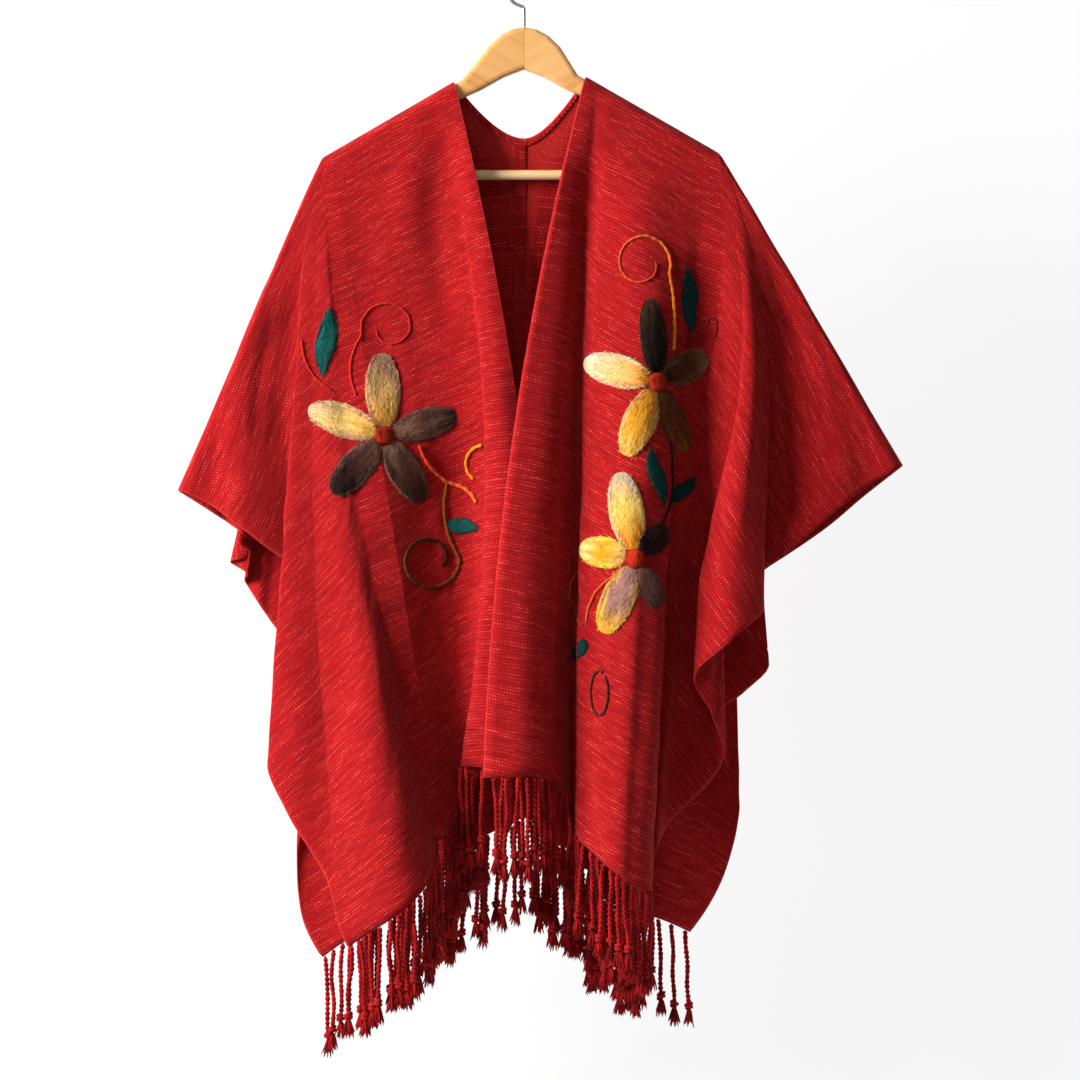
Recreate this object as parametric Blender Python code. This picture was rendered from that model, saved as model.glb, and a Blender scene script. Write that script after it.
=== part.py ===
# An open-front woven poncho with knotted fringe and felted flowers, hanging on a wooden hanger.
#
# Two loom widths go over the shoulders and are joined down the middle of the back. Each width
# hangs as four fans of straight folds that start at the end of the hanger, or along its arm.
# Metres, +Z up. The front faces -Y and the origin is where the hook hangs. Tables are in
# millimetres and degrees.

import math

import bmesh
import bpy
import numpy as np
from mathutils import Vector
from mathutils.bvhtree import BVHTree

MM = 0.001
GAP = 0.3

# Cloth
WALL = 1.4
WING_LENGTH = 402.0
ARM_CLOTH = 240.0
CLOTH_WIDTH = ARM_CLOTH + WING_LENGTH
FRONT_LENGTH = 776.0
BACK_LENGTH = {"left": 806.0, "right": 778.0}
SHOULDER_ROLL = 10.5
FOLD_FADE = 520.0

# Near the hanger the cloth is even, and the folds come in further down: later on the smooth panel
ARM_LEAN = -6.0
ARM_DEPTH = 2.0
LATE_FANS = (("front", "left"),)
LATE_FADE = 900.0
LATE_FROM = 520.0
LATE_FULL = 760.0

# Where the cloth leaves the hanger, and the neck
ARM_END = {"left": (-219.0, -199.0), "right": (212.0, -194.0)}
NECK_POINT = {"left": (-77.5, -117.0), "right": (68.5, -111.5)}
NECK_DROP = -178.0
NECK_CURVE_X = {"left": -27.0, "right": 22.0}
NECK_EDGE = 99.0
NECK_ROLL_IN = 0.12
SEAM_HALF_GAP = 0.2
PARTING = 0.15
PARTING_FROM = -235.0
MOST_PARTINGS = 140

# Hanger
ARM_HALF_THICK = 7.0
ARM_CLEARANCE = 1.5
ARM_ROUNDING = 5.2
HUMP_TOP = -56.2
HUMP_UNDER = -103.0
HUMP_LINE = ((14, 2.5), (27, 9.5), (40, 22))
HUMP_FOOT = 9.0
ARM_END_LINE = ((12, -7), (4, 1), (0, 10), (-1, 20), (4, 31), (14, 35))
ARM_STEP = 8.0
ARM_HEIGHT = 19.0
UNDER_LINE = ((48, 23), (22, 8.5))
ROUNDING_STEPS = 3
SHARP_WOOD = 40
SHARP_WIRE = 50
BAR_RADIUS = 5.5
BAR_Z = -219.0
BAR_HALF_LENGTH = 186.0
WIRE_RADIUS = 1.9
HOOK_RADIUS = 17.5
HOOK_END_TURN = 250.0
HOOK_BEND = 3.2
HOOK_BEND_TURNS = (30, 60)
HOOK_START_TURN = 28.0
HOOK_STEPS = 20
BAR_SIDES = 16
WIRE_SIDES = 10

# Fringe
CORD_SPACING = 12.5
HEADER_END = 5.0
SEAM_END = 8.0
CORD_WIDTH = 4.4
HEADER_GAP = 1.1
HEADER_HEIGHT = 3.0
STRAIGHT_ENOUGH = 2.4
CORD_TO_KNOT = 84.0
KNOT_LENGTH = 9.0
TUFT_LENGTH = 17.0
KNOT_WIDTH = 6.8
TUFT_WIDTH = 7.6
CLEAR_OF_CORDS = 10.6
CLEAR_OF_CLOTH = 8.0
CORD_PROBES = (0.25, 0.5, 0.75, 1.0)
CORD_WAVER = 2.4
CORD_UNEVEN = 5.0
CORD_DRIFT = 0.5
TUFT_DRIFT = 0.6

# Felt
FELT_THICK = 2.4
FELT_EDGE = 0.6
FELT_RINGS = ((1.0, FELT_EDGE), (0.62, FELT_THICK), (0.3, FELT_THICK))
FELT_SAMPLES = 6
FELT_PASSES = 4
FELT_STEEPEST = 0.25
MOST_LIFTS = 60
IN_FRONT = -300.0
FLOWER_WAIST = 11.0
PETAL_MIDDLE = 0.56
PETAL_TURNS = (-15, -8, 0, 8, 15)
LEAF_SHAPE = ((0, 0), (0.2, 0.62), (0.45, 1), (0.72, 0.72), (1, 0))

# One row for each fold that runs down the cloth. along: where it starts, in mm from the hanger's
# end towards the neck. edge: where it ends, in mm round the cloth's edge from the wing tip, down
# the selvedge and along the hem. lean: degrees out from straight down. depth: degrees away from
# the middle of the garment. ease: hanging length over flat length. bow: sideways, in mm, outwards.
FOLD_COLUMNS = ("name", "along", "edge", "lean", "depth", "ease", "bow")

FRONT_RIGHT = (
    ("wing top", 0, 0, 30.7, 0.0, 1.0, 0),
    ("wing middle", 0, 58, 22.6, 1.0, 1.0, 0),
    ("wing low", 0, 100, 17.2, 1.4, 1.01, 0),
    ("wing inner", 0, 155, 10.5, 1.5, 1.03, 0),
    ("wing goes behind", 0, 196, 6.0, 1.2, 1.04, 0),
    ("valley behind tube", 0, 238, 2.4, 1.6, 1.04, 0),
    ("tube outer side", 0, 284, 5.3, 3.4, 1.035, 4),
    ("tube front", 0, 334, 1.6, 5.6, 1.035, 2),
    ("tube inner side", 0, 392, -2.8, 4.6, 1.04, 0),
    ("tube turns in", 0, 446, -0.8, 2.6, 1.04, 0),
    ("behind tube", 0, 520, 0.2, 1.3, 1.03, 0),
    ("falls inwards", 0, 640, -4.6, 0.9, 1.0, 0),
    ("corner", 0, 776, -6.2, 1.1, 0.97, 0),
    ("behind ridge", 0, 862, -8.2, 1.8, 0.98, 0),
    ("ridge outer side", 33, 948, -3.2, 3.8, 1.015, 0),
    ("ridge crest", 71, 1033, -3.0, 6.0, 1.03, 0),
    ("ridge inner side", 134, 1118, -2.3, 4.2, 1.02, -8),
    ("valley", 150, 1222, -2.2, 1.9, 1.0, -10),
    ("centre outer side", 156, 1304, -3.4, 4.0, 0.993, -10),
    ("centre", 161, 1367, -5.3, 5.5, 1.0, -14),
    ("front edge", 165.4, 1418, -8.3, 5.8, 1.013, -22),
)

FRONT_LEFT = (
    ("wing top", 0, 0, 23.8, 0.0, 1.0, 0),
    ("wing middle", 0, 50, 17.0, 0.8, 1.0, 0),
    ("wing low", 0, 96, 11.2, 1.1, 1.02, 0),
    ("wing goes behind", 0, 150, 5.2, 1.1, 1.04, 0),
    ("turn behind panel", 0, 262, -5.5, 1.5, 1.03, 0),
    ("comes back out", 0, 400, 0.6, 2.5, 1.01, 4),
    ("panel outer side", 0, 536, 4.9, 3.5, 1.0, 4),
    ("panel outer front", 0, 600, 3.1, 4.3, 1.0, 3),
    ("panel rise", 0, 690, -0.5, 5.1, 1.0, 0),
    ("corner", 0, 776, -2.1, 5.7, 1.0, 0),
    ("panel crest", 0, 862, -6.4, 6.7, 1.0, 0),
    ("panel shade", 0, 930, -8.6, 6.2, 0.995, 0),
    ("panel goes in", 0, 1056, -9.6, 3.6, 0.98, 0),
    ("behind strip", 60, 1210, -8.4, 1.5, 0.96, -14),
    ("turn under strip", 128, 1290, -4.6, 2.1, 0.97, -40),
    ("strip outer side", 146, 1340, -1.8, 3.3, 0.965, -38),
    ("strip front", 156, 1376, -4.6, 3.9, 0.98, -30),
    ("front edge", 163.4, 1418, -8.4, 3.2, 1.0, -18),
)

BACK_RIGHT = (
    ("wing top", 0, 0, 30.7, 0.0, 1.0, 0),
    ("wing middle", 0, 60, 22.0, 0.8, 1.02, 0),
    ("wing low", 0, 110, 15.4, 1.0, 1.04, 0),
    ("wing inner", 0, 190, 5.8, 0.7, 1.05, 0),
    ("turn in", 0, 262, 0.8, 0.9, 1.03, 0),
    ("fold outer side", 0, 385, 5.6, 1.9, 1.03, 4),
    ("fold front", 0, 424, 3.0, 2.6, 1.03, 2),
    ("fold inner side", 0, 474, -0.4, 3.3, 1.02, 0),
    ("side", 0, 600, 2.0, 4.6, 1.0, 4),
    ("side low", 0, 700, 0.8, 4.9, 1.0, 2),
    ("corner", 0, 778, -1.9, 4.4, 1.0, 0),
    ("hem outer", 0, 815, -4.4, 3.5, 1.0, 0),
    ("first valley", 0, 900, -7.6, 1.9, 1.032, 0),
    ("first flute", 0, 985, -8.9, 4.2, 1.042, 0),
    ("second valley", 0, 1070, -9.9, 1.8, 1.046, 0),
    ("second flute", 0, 1150, -10.5, 3.9, 1.037, 0),
    ("third valley", 50, 1240, -8.5, 1.8, 1.048, 0),
    ("third flute", 120, 1314, -5.2, 3.3, 1.067, 0),
    ("neck point", 165.4, 1356, -3.1, 3.0, 1.074, 0),
    ("neck turn", 182, 1374, -2.9, 2.6, 1.081, 0),
    ("beside seam", 234, 1398, -0.6, 2.3, 1.078, 0),
    ("centre seam", 264, 1420, 0.0, 2.3, 1.107, 0),
)

BACK_LEFT = (
    ("wing top", 0, 0, 23.8, 0.0, 1.0, 0),
    ("wing middle", 0, 60, 15.8, 0.8, 1.02, 0),
    ("wing low", 0, 116, 10.6, 1.0, 1.03, 0),
    ("flap outer", 0, 200, 11.5, 2.6, 1.02, 0),
    ("flap front", 0, 262, 10.6, 4.0, 1.0, 0),
    ("flap low", 0, 320, 7.4, 4.4, 1.0, 0),
    ("goes behind", 0, 420, 1.6, 3.3, 1.0, 0),
    ("comes out", 0, 540, -0.4, 3.2, 1.0, 0),
    ("side", 0, 650, 2.2, 4.6, 1.0, 0),
    ("side low", 0, 748, 2.0, 5.1, 1.0, 0),
    ("corner", 0, 806, 0.4, 5.0, 1.0, 0),
    ("hem outer", 0, 860, -1.9, 4.1, 0.996, 0),
    ("first valley", 0, 940, -3.6, 1.9, 1.015, 0),
    ("first flute", 0, 1020, -5.0, 4.2, 1.026, 0),
    ("second valley", 0, 1100, -6.6, 1.7, 1.02, 0),
    ("second flute", 0, 1180, -8.0, 3.9, 1.007, 0),
    ("third valley", 55, 1275, -6.6, 1.7, 1.016, 0),
    ("third flute", 120, 1345, -4.5, 3.3, 1.029, 0),
    ("neck point", 163.4, 1386, -3.0, 3.0, 1.036, 0),
    ("neck turn", 180, 1404, -3.0, 2.6, 1.04, 0),
    ("beside seam", 232, 1424, -0.8, 2.3, 1.037, 0),
    ("centre seam", 264, 1448, 0.0, 2.3, 1.063, 0),
)


def clear_scene():
    for old in list(bpy.data.objects):
        bpy.data.objects.remove(old)


def finish(name, red, green, blue, roughness, metallic=0.0):
    material = bpy.data.materials.new(name)
    material.use_nodes = True
    shader = material.node_tree.nodes["Principled BSDF"]
    shader.inputs["Base Color"].default_value = (red, green, blue, 1.0)
    shader.inputs["Roughness"].default_value = roughness
    shader.inputs["Metallic"].default_value = metallic
    return material


def smooth_step(value):
    value = min(max(value, 0.0), 1.0)
    return value * value * (3.0 - 2.0 * value)


def mix(low, high, share):
    return low + (high - low) * share


class Fan:
    """One quarter of the cloth: the folds from one arm of the hanger, on one side of it."""

    def __init__(self, side, facing, rows, length):
        self.out = -1.0 if side == "left" else 1.0
        self.side = side
        self.facing = facing
        self.length = length
        self.late = (("front" if facing < 0 else "back"), side) in LATE_FANS
        self.columns = {
            name: np.array([row[place] for row in rows], float)
            for place, name in enumerate(FOLD_COLUMNS)
            if name != "name"
        }
        self.edges = self.columns["edge"]
        self.last = self.edges[-1]
        self.arm_length = math.dist(ARM_END[side], NECK_POINT[side])

    def curve(self, name, edge):
        """A smooth curve through the column's values, with each fold as a rounded turn."""
        values, knots = self.columns[name], self.edges
        place = int(np.clip(np.searchsorted(knots, edge, "right") - 1, 0, len(knots) - 2))
        span = knots[place + 1] - knots[place]
        share = (edge - knots[place]) / span
        before, after = max(place - 1, 0), min(place + 2, len(knots) - 1)
        start_slope = (values[place + 1] - values[before]) / (knots[place + 1] - knots[before])
        end_slope = (values[after] - values[place]) / (knots[after] - knots[place])
        s2, s3 = share**2, share**3
        return (
            (2 * s3 - 3 * s2 + 1) * values[place]
            + (s3 - 2 * s2 + share) * span * start_slope
            + (3 * s2 - 2 * s3) * values[place + 1]
            + (s3 - s2) * span * end_slope
        )

    def along(self, edge):
        return float(np.interp(edge, self.edges, self.columns["along"]))

    def edge_at(self, along):
        """The edge place of the fold that starts this far along the arm."""
        starts = self.columns["along"]
        first = int(np.flatnonzero(starts <= 0)[-1])
        return float(np.interp(along, starts[first:], self.edges[first:]))

    def flat_top(self, along):
        if along <= self.arm_length:
            return ARM_CLOTH * (1.0 - along / self.arm_length), 0.0
        return 0.0, along - self.arm_length

    def flat_edge(self, edge):
        if edge <= self.length:
            return CLOTH_WIDTH, edge
        return CLOTH_WIDTH - (edge - self.length), self.length

    def top(self, along):
        """The start of a fold: on the arm, or past the neck point on the back neckline."""
        end_x, end_z = ARM_END[self.side]
        neck_x, neck_z = NECK_POINT[self.side]
        if along <= self.arm_length:
            share = along / self.arm_length
            return mix(end_x, neck_x, share), mix(end_z, neck_z, share), 0.0
        over = min((along - self.arm_length) / SHOULDER_ROLL, math.pi / 2)
        if over < math.pi / 2:
            inwards = 1 - NECK_ROLL_IN * (over / (math.pi / 2)) ** 2
            return neck_x * inwards, neck_z - SHOULDER_ROLL * (1 - math.cos(over)), over
        quarter = SHOULDER_ROLL * math.pi / 2
        neck_x *= 1 - NECK_ROLL_IN
        share = min((along - self.arm_length - quarter) / (NECK_EDGE - quarter), 1.0)
        middle_x = self.out * SEAM_HALF_GAP
        first, second, third = (1 - share) ** 2, 2 * share * (1 - share), share**2
        x = first * neck_x + second * NECK_CURVE_X[self.side] + third * middle_x
        z = first * (neck_z - SHOULDER_ROLL) + (second + third) * NECK_DROP
        return x, z, math.pi / 2

    def fold_fade(self, edge):
        """How far down the folds are full: further on a panel that hangs smooth."""
        if not self.late:
            return FOLD_FADE
        return mix(FOLD_FADE, LATE_FADE, smooth_step((edge - LATE_FROM) / (LATE_FULL - LATE_FROM)))

    def point(self, edge, share):
        along = self.along(edge)
        top_x, top_z, turned = self.top(along)
        top_u, top_v = self.flat_top(along)
        edge_u, edge_v = self.flat_edge(edge)
        flat_reach = math.hypot(edge_u - top_u, edge_v - top_v)
        reach = share * flat_reach * self.curve("ease", edge)
        fall = share * (edge_v - top_v)
        lean, depth = self.curve("lean", edge), self.curve("depth", edge)
        if along <= 0.0:
            wing_lean = self.columns["lean"][0]
            cloth_angle = math.degrees(math.atan2(edge_v, edge_u - top_u))
            fade = smooth_step(reach / self.fold_fade(edge))
            lean = mix(mix(wing_lean, ARM_LEAN, cloth_angle / 90), lean, fade)
            depth = mix(ARM_DEPTH * cloth_angle / 90, depth, fade)
            perpendicular = (wing_lean - 90.0) * (1 - cloth_angle / 90)
        else:
            perpendicular = 0.0
        roll = min(fall / SHOULDER_ROLL + turned, math.pi / 2)
        rolled = SHOULDER_ROLL * (roll - turned)
        lift = rolled - SHOULDER_ROLL * (math.cos(turned) - math.cos(roll))
        lean, depth, perpendicular = map(math.radians, (lean, depth, perpendicular))
        sideways = reach * math.sin(lean) * math.cos(depth)
        sideways += self.curve("bow", edge) * 4 * share * (1 - share)
        sideways -= lift * math.sin(perpendicular)
        down = reach * math.cos(lean) * math.cos(depth) - lift * math.cos(perpendicular)
        away = SHOULDER_ROLL * math.sin(roll) + reach * math.sin(depth)
        return Vector((top_x + self.out * sideways, self.facing * away, top_z - down))


FANS = {
    ("front", "left"): Fan("left", -1.0, FRONT_LEFT, FRONT_LENGTH),
    ("front", "right"): Fan("right", -1.0, FRONT_RIGHT, FRONT_LENGTH),
    ("back", "left"): Fan("left", 1.0, BACK_LEFT, BACK_LENGTH["left"]),
    ("back", "right"): Fan("right", 1.0, BACK_RIGHT, BACK_LENGTH["right"]),
}

ROW_SHARES = (0, 0.008, 0.018, 0.035, 0.075, 0.14, 0.22, 0.31, 0.41, 0.52, 0.63, 0.75, 0.87, 1.0)
COLUMN_STEPS = {2: 9, 3: 4, 4: 2}
ARM_COLUMNS = {
    "left": (20, 40, 60, 83, 106, 128, 137, 146, 151, 156, 160),
    "right": (15, 33, 52, 71, 92, 113, 134, 142, 150, 156, 161),
}
WING_EDGES = (0, 10)
CLOSEST_COLUMNS = 8.0
WIDEST_COLUMN = 34.0
PAST_NECK = 5.0
NECK_COLUMNS = (6, 11.5, 17, 32, 50, 72, NECK_EDGE)


def column_edges(fan):
    """The edge places of the wall's columns: each fold of the table, and one between two."""
    wing = [edge for edge in fan.edges[fan.columns["along"] <= 0]]
    places = list(WING_EDGES)
    for low, high in zip(wing, wing[1:]):
        count = 2 if high - low > WIDEST_COLUMN else 1
        places += [mix(low, high, part / count) for part in range(count + 1)]
    places = sorted({round(place, 3) for place in places})
    folds = set(fan.edges)
    places = [place for number, place in enumerate(places) if number == 0 or place in folds
              or place - places[number - 1] > CLOSEST_COLUMNS]
    places = [place for number, place in enumerate(places) if place in folds
              or min(abs(place - fold) for fold in folds) > CLOSEST_COLUMNS]
    arm = [*ARM_COLUMNS[fan.side], fan.arm_length]
    places += [fan.edge_at(along) for along in arm]
    neckline = []
    if fan.along(fan.last) > fan.arm_length + PAST_NECK:
        neckline = [fan.edge_at(fan.arm_length + beyond) for beyond in NECK_COLUMNS]
    return places, arm, neckline


def add_panel(side, material):
    """A loom width over the shoulder: a front fan and a back fan that share the shoulder line."""
    mesh = bmesh.new()
    shared = {}

    def corner(key, fan, edge, share):
        if key not in shared:
            shared[key] = mesh.verts.new(fan.point(edge, share) * MM)
        return shared[key]

    for facing in ("front", "back"):
        fan = FANS[facing, side]
        places, arm, neckline = column_edges(fan)
        wing_count = len(places) - len(arm)
        grid = []
        fan.hem = []
        for number, edge in enumerate(places + neckline):
            column = []
            for row, share in enumerate(ROW_SHARES):
                if row < 2 and number < wing_count:
                    key = "arm end"
                elif row == 0 and number < len(places):
                    key = ("arm", number - wing_count)
                elif number == 0:
                    key = ("wing top", row)
                else:
                    step = COLUMN_STEPS.get(row, 1) if number < wing_count else 1
                    key = (facing, number - number % step, row)
                column.append(corner(key, fan, edge, share))
            grid.append(column)
            if edge >= fan.length:
                fan.hem.append((edge, column[-1], column[-2]))
        for left, right in zip(grid, grid[1:]):
            for row in range(len(ROW_SHARES) - 1):
                around = [left[row], left[row + 1], right[row + 1], right[row]]
                around = list(dict.fromkeys(around))
                if len(around) < 3:
                    continue
                if fan.out * fan.facing > 0:
                    around.reverse()
                mesh.faces.new(around)
    mesh.verts.index_update()
    for facing in ("front", "back"):
        fan = FANS[facing, side]
        fan.hem = [(edge, low.index, high.index) for edge, low, high in fan.hem]
    panel = add_mesh(f"panel_{side}", mesh, material)
    wall = panel.modifiers.new("wall", "SOLIDIFY")
    wall.thickness = WALL * MM
    wall.offset = 0.0
    part_layers(panel)
    return panel


def part_layers(panel):
    """Moves the layers of a panel's tight folds apart until its wall no longer runs into itself."""
    points = panel.data.vertices
    for _ in range(MOST_PARTINGS):
        bpy.context.view_layer.update()
        solid = panel.evaluated_get(bpy.context.evaluated_depsgraph_get()).to_mesh()
        solid.calc_loop_triangles()
        triangles = [tuple(triangle.vertices) for triangle in solid.loop_triangles]
        tree = BVHTree.FromPolygons([point.co for point in solid.vertices], triangles)
        moves = {}
        for first, second in tree.overlap(tree):
            if set(triangles[first]) & set(triangles[second]):
                continue
            corners = [[index % len(points) for index in triangles[place]]
                       for place in (first, second)]
            here, there = (sum((points[index].co for index in three), Vector()) / 3
                           for three in corners)
            if here.z > PARTING_FROM * MM:
                continue
            edges = [points[corners[1][end]].co - points[corners[1][0]].co for end in (1, 2)]
            normal = edges[0].cross(edges[1]).normalized()
            if normal.dot(here - there) < 0:
                normal.negate()
            for index in corners[0]:
                moves[index] = moves.get(index, Vector()) + normal
        if not moves:
            break
        for index, move in moves.items():
            at_seam = abs(points[index].co.x) < SEAM_HALF_GAP * 2 * MM
            on_shoulder = abs(points[index].co.y) < GAP * MM
            if not at_seam and not on_shoulder and move.length > 0:
                points[index].co += move.normalized() * PARTING * MM


def add_mesh(name, mesh, material, smooth=True):
    data = bpy.data.meshes.new(name)
    mesh.to_mesh(data)
    mesh.free()
    data.materials.append(material)
    if smooth:
        data.shade_smooth()
    piece = bpy.data.objects.new(name, data)
    bpy.context.collection.objects.link(piece)
    return piece


def tree_of(piece):
    bpy.context.view_layer.update()
    graph = bpy.context.evaluated_depsgraph_get()
    return BVHTree.FromObject(piece, graph)


class HemLine:
    """The built hem of one fan: points on it, the way off it and the way through the wall."""

    def __init__(self, fan, panel):
        points = panel.data.vertices
        self.places = [edge for edge, _, _ in fan.hem]
        self.corners = []
        for _, low, high in fan.hem:
            point = points[low].co / MM
            self.corners.append((point, (point - points[high].co / MM).normalized(),
                                 points[low].normal.copy()))

    def frame(self, edge):
        place = int(np.clip(np.searchsorted(self.places, edge, "right") - 1, 0,
                            len(self.places) - 2))
        share = (edge - self.places[place]) / (self.places[place + 1] - self.places[place])
        low, high = self.corners[place], self.corners[place + 1]
        return (low[0].lerp(high[0], share), low[1].lerp(high[1], share),
                low[2].lerp(high[2], share))


def is_clear(foot, others, walls):
    for other in others:
        if math.hypot(foot.x - other.x, foot.y - other.y) < CLEAR_OF_CORDS:
            return False
    for drop in CORD_PROBES:
        length = CORD_TO_KNOT + KNOT_LENGTH + TUFT_LENGTH
        probe = Vector((foot.x, foot.y, foot.z - length * drop)) * MM
        for wall in walls:
            if wall.find_nearest(probe)[3] < CLEAR_OF_CLOTH * MM:
                return False
    return True


def cord_sections(number):
    """Each section of a cord: distance down, half width, and a small sideways and turning drift."""
    waver = math.sin(number * CORD_WAVER)
    knot = CORD_TO_KNOT + CORD_UNEVEN * waver
    half_cord, half_knot, half_tuft = CORD_WIDTH / 2, KNOT_WIDTH / 2, TUFT_WIDTH / 2
    return (
        (knot, half_cord, CORD_DRIFT * waver),
        (knot + KNOT_LENGTH / 2, half_knot, CORD_DRIFT * waver),
        (knot + KNOT_LENGTH, half_cord, CORD_DRIFT * waver),
        (knot + KNOT_LENGTH + TUFT_LENGTH, half_tuft, TUFT_DRIFT * waver),
    )


def add_fringe(facing, side, panel, material, walls, hung):
    """A header strip just past the hem, with a cord drawn down from each short stretch of it."""
    fan = FANS[facing, side]
    hem = HemLine(fan, panel)
    low = fan.length + HEADER_END
    high = fan.last - (SEAM_END if facing == "back" else HEADER_END)
    cords = []
    edge = low + CORD_WIDTH
    while edge < high - CORD_WIDTH:
        point, down, _ = hem.frame(edge)
        foot = point + down * (HEADER_GAP + HEADER_HEIGHT)
        ends = [edge - CORD_WIDTH / 2, edge + CORD_WIDTH / 2]
        straight = (hem.frame(ends[0])[0] - hem.frame(ends[1])[0]).length > STRAIGHT_ENOUGH
        if is_clear(foot, hung, walls) and straight:
            hung.append(foot)
            cords.append(ends)
            edge += CORD_SPACING
        else:
            edge += CORD_WIDTH
    starts = {ends[0]: number for number, ends in enumerate(cords)}
    turns = [place for place in hem.places if low < place < high
             and all(not ends[0] - 1 < place < ends[1] + 1 for ends in cords)]
    stations = sorted([low, high, *turns, *(end for ends in cords for end in ends)])
    mesh = bmesh.new()
    rings = []
    for edge in stations:
        point, down, through = hem.frame(edge)
        across = through * (WALL / 2)
        top = point + down * HEADER_GAP
        bottom = top + down * HEADER_HEIGHT
        rings.append([mesh.verts.new(place * MM) for place in
                      (top - across, top + across, bottom + across, bottom - across)])
    mesh.faces.new(rings[0])
    mesh.faces.new(list(reversed(rings[-1])))
    for place, (left, right) in enumerate(zip(rings, rings[1:])):
        for turn in range(4):
            after = (turn + 1) % 4
            if turn == 2 and stations[place] in starts:
                continue
            mesh.faces.new((left[turn], right[turn], right[after], left[after]))
        if stations[place] in starts:
            draw_cord(mesh, (left[2], right[2], right[3], left[3]), starts[stations[place]])
    bmesh.ops.recalc_face_normals(mesh, faces=mesh.faces)
    return add_mesh(f"fringe_{facing}_{side}", mesh, material)


def draw_cord(mesh, root, number):
    middle = sum((corner.co for corner in root), Vector()) / 4
    ring = list(root)
    start = math.atan2(ring[0].co.y - middle.y, ring[0].co.x - middle.x)
    next_turn = math.atan2(ring[1].co.y - middle.y, ring[1].co.x - middle.x)
    turning = 1.0 if (next_turn - start) % (2 * math.pi) < math.pi else -1.0
    for drop, half, drift in cord_sections(number):
        section = []
        for turn in range(4):
            angle = start + turning * turn * math.pi / 2
            radius = half * math.sqrt(2)
            section.append(mesh.verts.new(Vector((
                middle.x + (drift + radius * math.cos(angle)) * MM,
                middle.y + (drift * 0.4 + radius * math.sin(angle)) * MM,
                middle.z - drop * MM,
            ))))
        for turn in range(4):
            after = (turn + 1) % 4
            mesh.faces.new((ring[turn], ring[after], section[after], section[turn]))
        ring = section
    mesh.faces.new(ring)


# Flowers: x and z of the centre, then one row for each petal: turn in degrees from straight up,
# clockwise as seen from the front, its length from the centre, and its width.
FLOWERS = {
    "flower_left": ((-153.0, -507.0), "panel_left", (
        (-1, 91, 40), (69, 82, 36), (148, 85, 40), (222, 84, 36), (288, 89, 38),
    )),
    "flower_right_upper": ((146.0, -449.0), "panel_right", (
        (-4, 92, 32), (62, 64, 36), (156, 80, 30), (205, 86, 38), (284, 82, 38),
    )),
    "flower_right_lower": ((121.0, -642.0), "panel_right", (
        (-10, 96, 40), (44, 48, 28), (150, 58, 28), (203, 88, 38), (279, 64, 36),
    )),
}

# Leaves: base and tip in x and z, width, and the panel that carries it.
LEAVES = {
    "leaf_left_upper": ((-221.0, -443.0), (-214.0, -366.0), 24, "panel_left"),
    "leaf_left_lower": ((-87.0, -600.0), (-56.0, -610.0), 20, "panel_left"),
    "leaf_right_upper": ((186.0, -394.0), (179.0, -322.0), 19, "panel_right"),
    "leaf_right_middle": ((153.0, -585.0), (139.0, -521.0), 20, "panel_right"),
    "leaf_right_side": ((160.0, -580.0), (183.0, -557.0), 15, "panel_right"),
}


def petal_reach(petals, angle):
    """How far the flower's outline reaches at this angle: the longest petal there, or the waist."""
    reach = FLOWER_WAIST
    for turn, length, width in petals:
        offset = math.radians((angle - turn + 180) % 360 - 180)
        if abs(offset) >= math.pi / 2:
            continue
        middle, half_long, half_wide = length * PETAL_MIDDLE, length * (1 - PETAL_MIDDLE), width / 2
        a = (math.cos(offset) / half_long) ** 2 + (math.sin(offset) / half_wide) ** 2
        b = -2 * middle * math.cos(offset) / half_long**2
        c = (middle / half_long) ** 2 - 1
        inside = b * b - 4 * a * c
        if inside > 0:
            reach = max(reach, (-b + math.sqrt(inside)) / (2 * a))
    return reach


def flower_outline(petals):
    """Points round the flower: five for each petal and one for each notch between two."""
    turns = sorted(turn % 360 for turn, _, _ in petals)
    points = []
    for place, turn in enumerate(turns):
        after = turns[(place + 1) % len(turns)] + (360 if place == len(turns) - 1 else 0)
        points += [turn + offset for offset in PETAL_TURNS] + [(turn + after) / 2]
    outline = []
    for angle in points:
        reach = petal_reach(petals, angle)
        radians = math.radians(angle)
        outline.append((math.sin(radians) * reach, math.cos(radians) * reach))
    return outline


def leaf_outline(base, tip, width):
    along = Vector((tip[0] - base[0], tip[1] - base[1]))
    across = Vector((-along.y, along.x)).normalized() * width / 2
    side = [along * share + across * bulge for share, bulge in LEAF_SHAPE]
    other = [along * share - across * bulge for share, bulge in LEAF_SHAPE[-2:0:-1]]
    return [(point.x - along.x / 2, point.y - along.y / 2) for point in side + other]


def felt_triangles(rings):
    """The triangles of one face of a felt piece, from its outer ring in to its middle point."""
    triangles = []
    for outer, inner in zip(rings, rings[1:]):
        for number in range(len(outer)):
            after = (number + 1) % len(outer)
            if len(inner) == 1:
                triangles.append((outer[number], outer[after], inner[0]))
            else:
                triangles.append((outer[number], outer[after], inner[after]))
                triangles.append((outer[number], inner[after], inner[number]))
    return triangles


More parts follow.
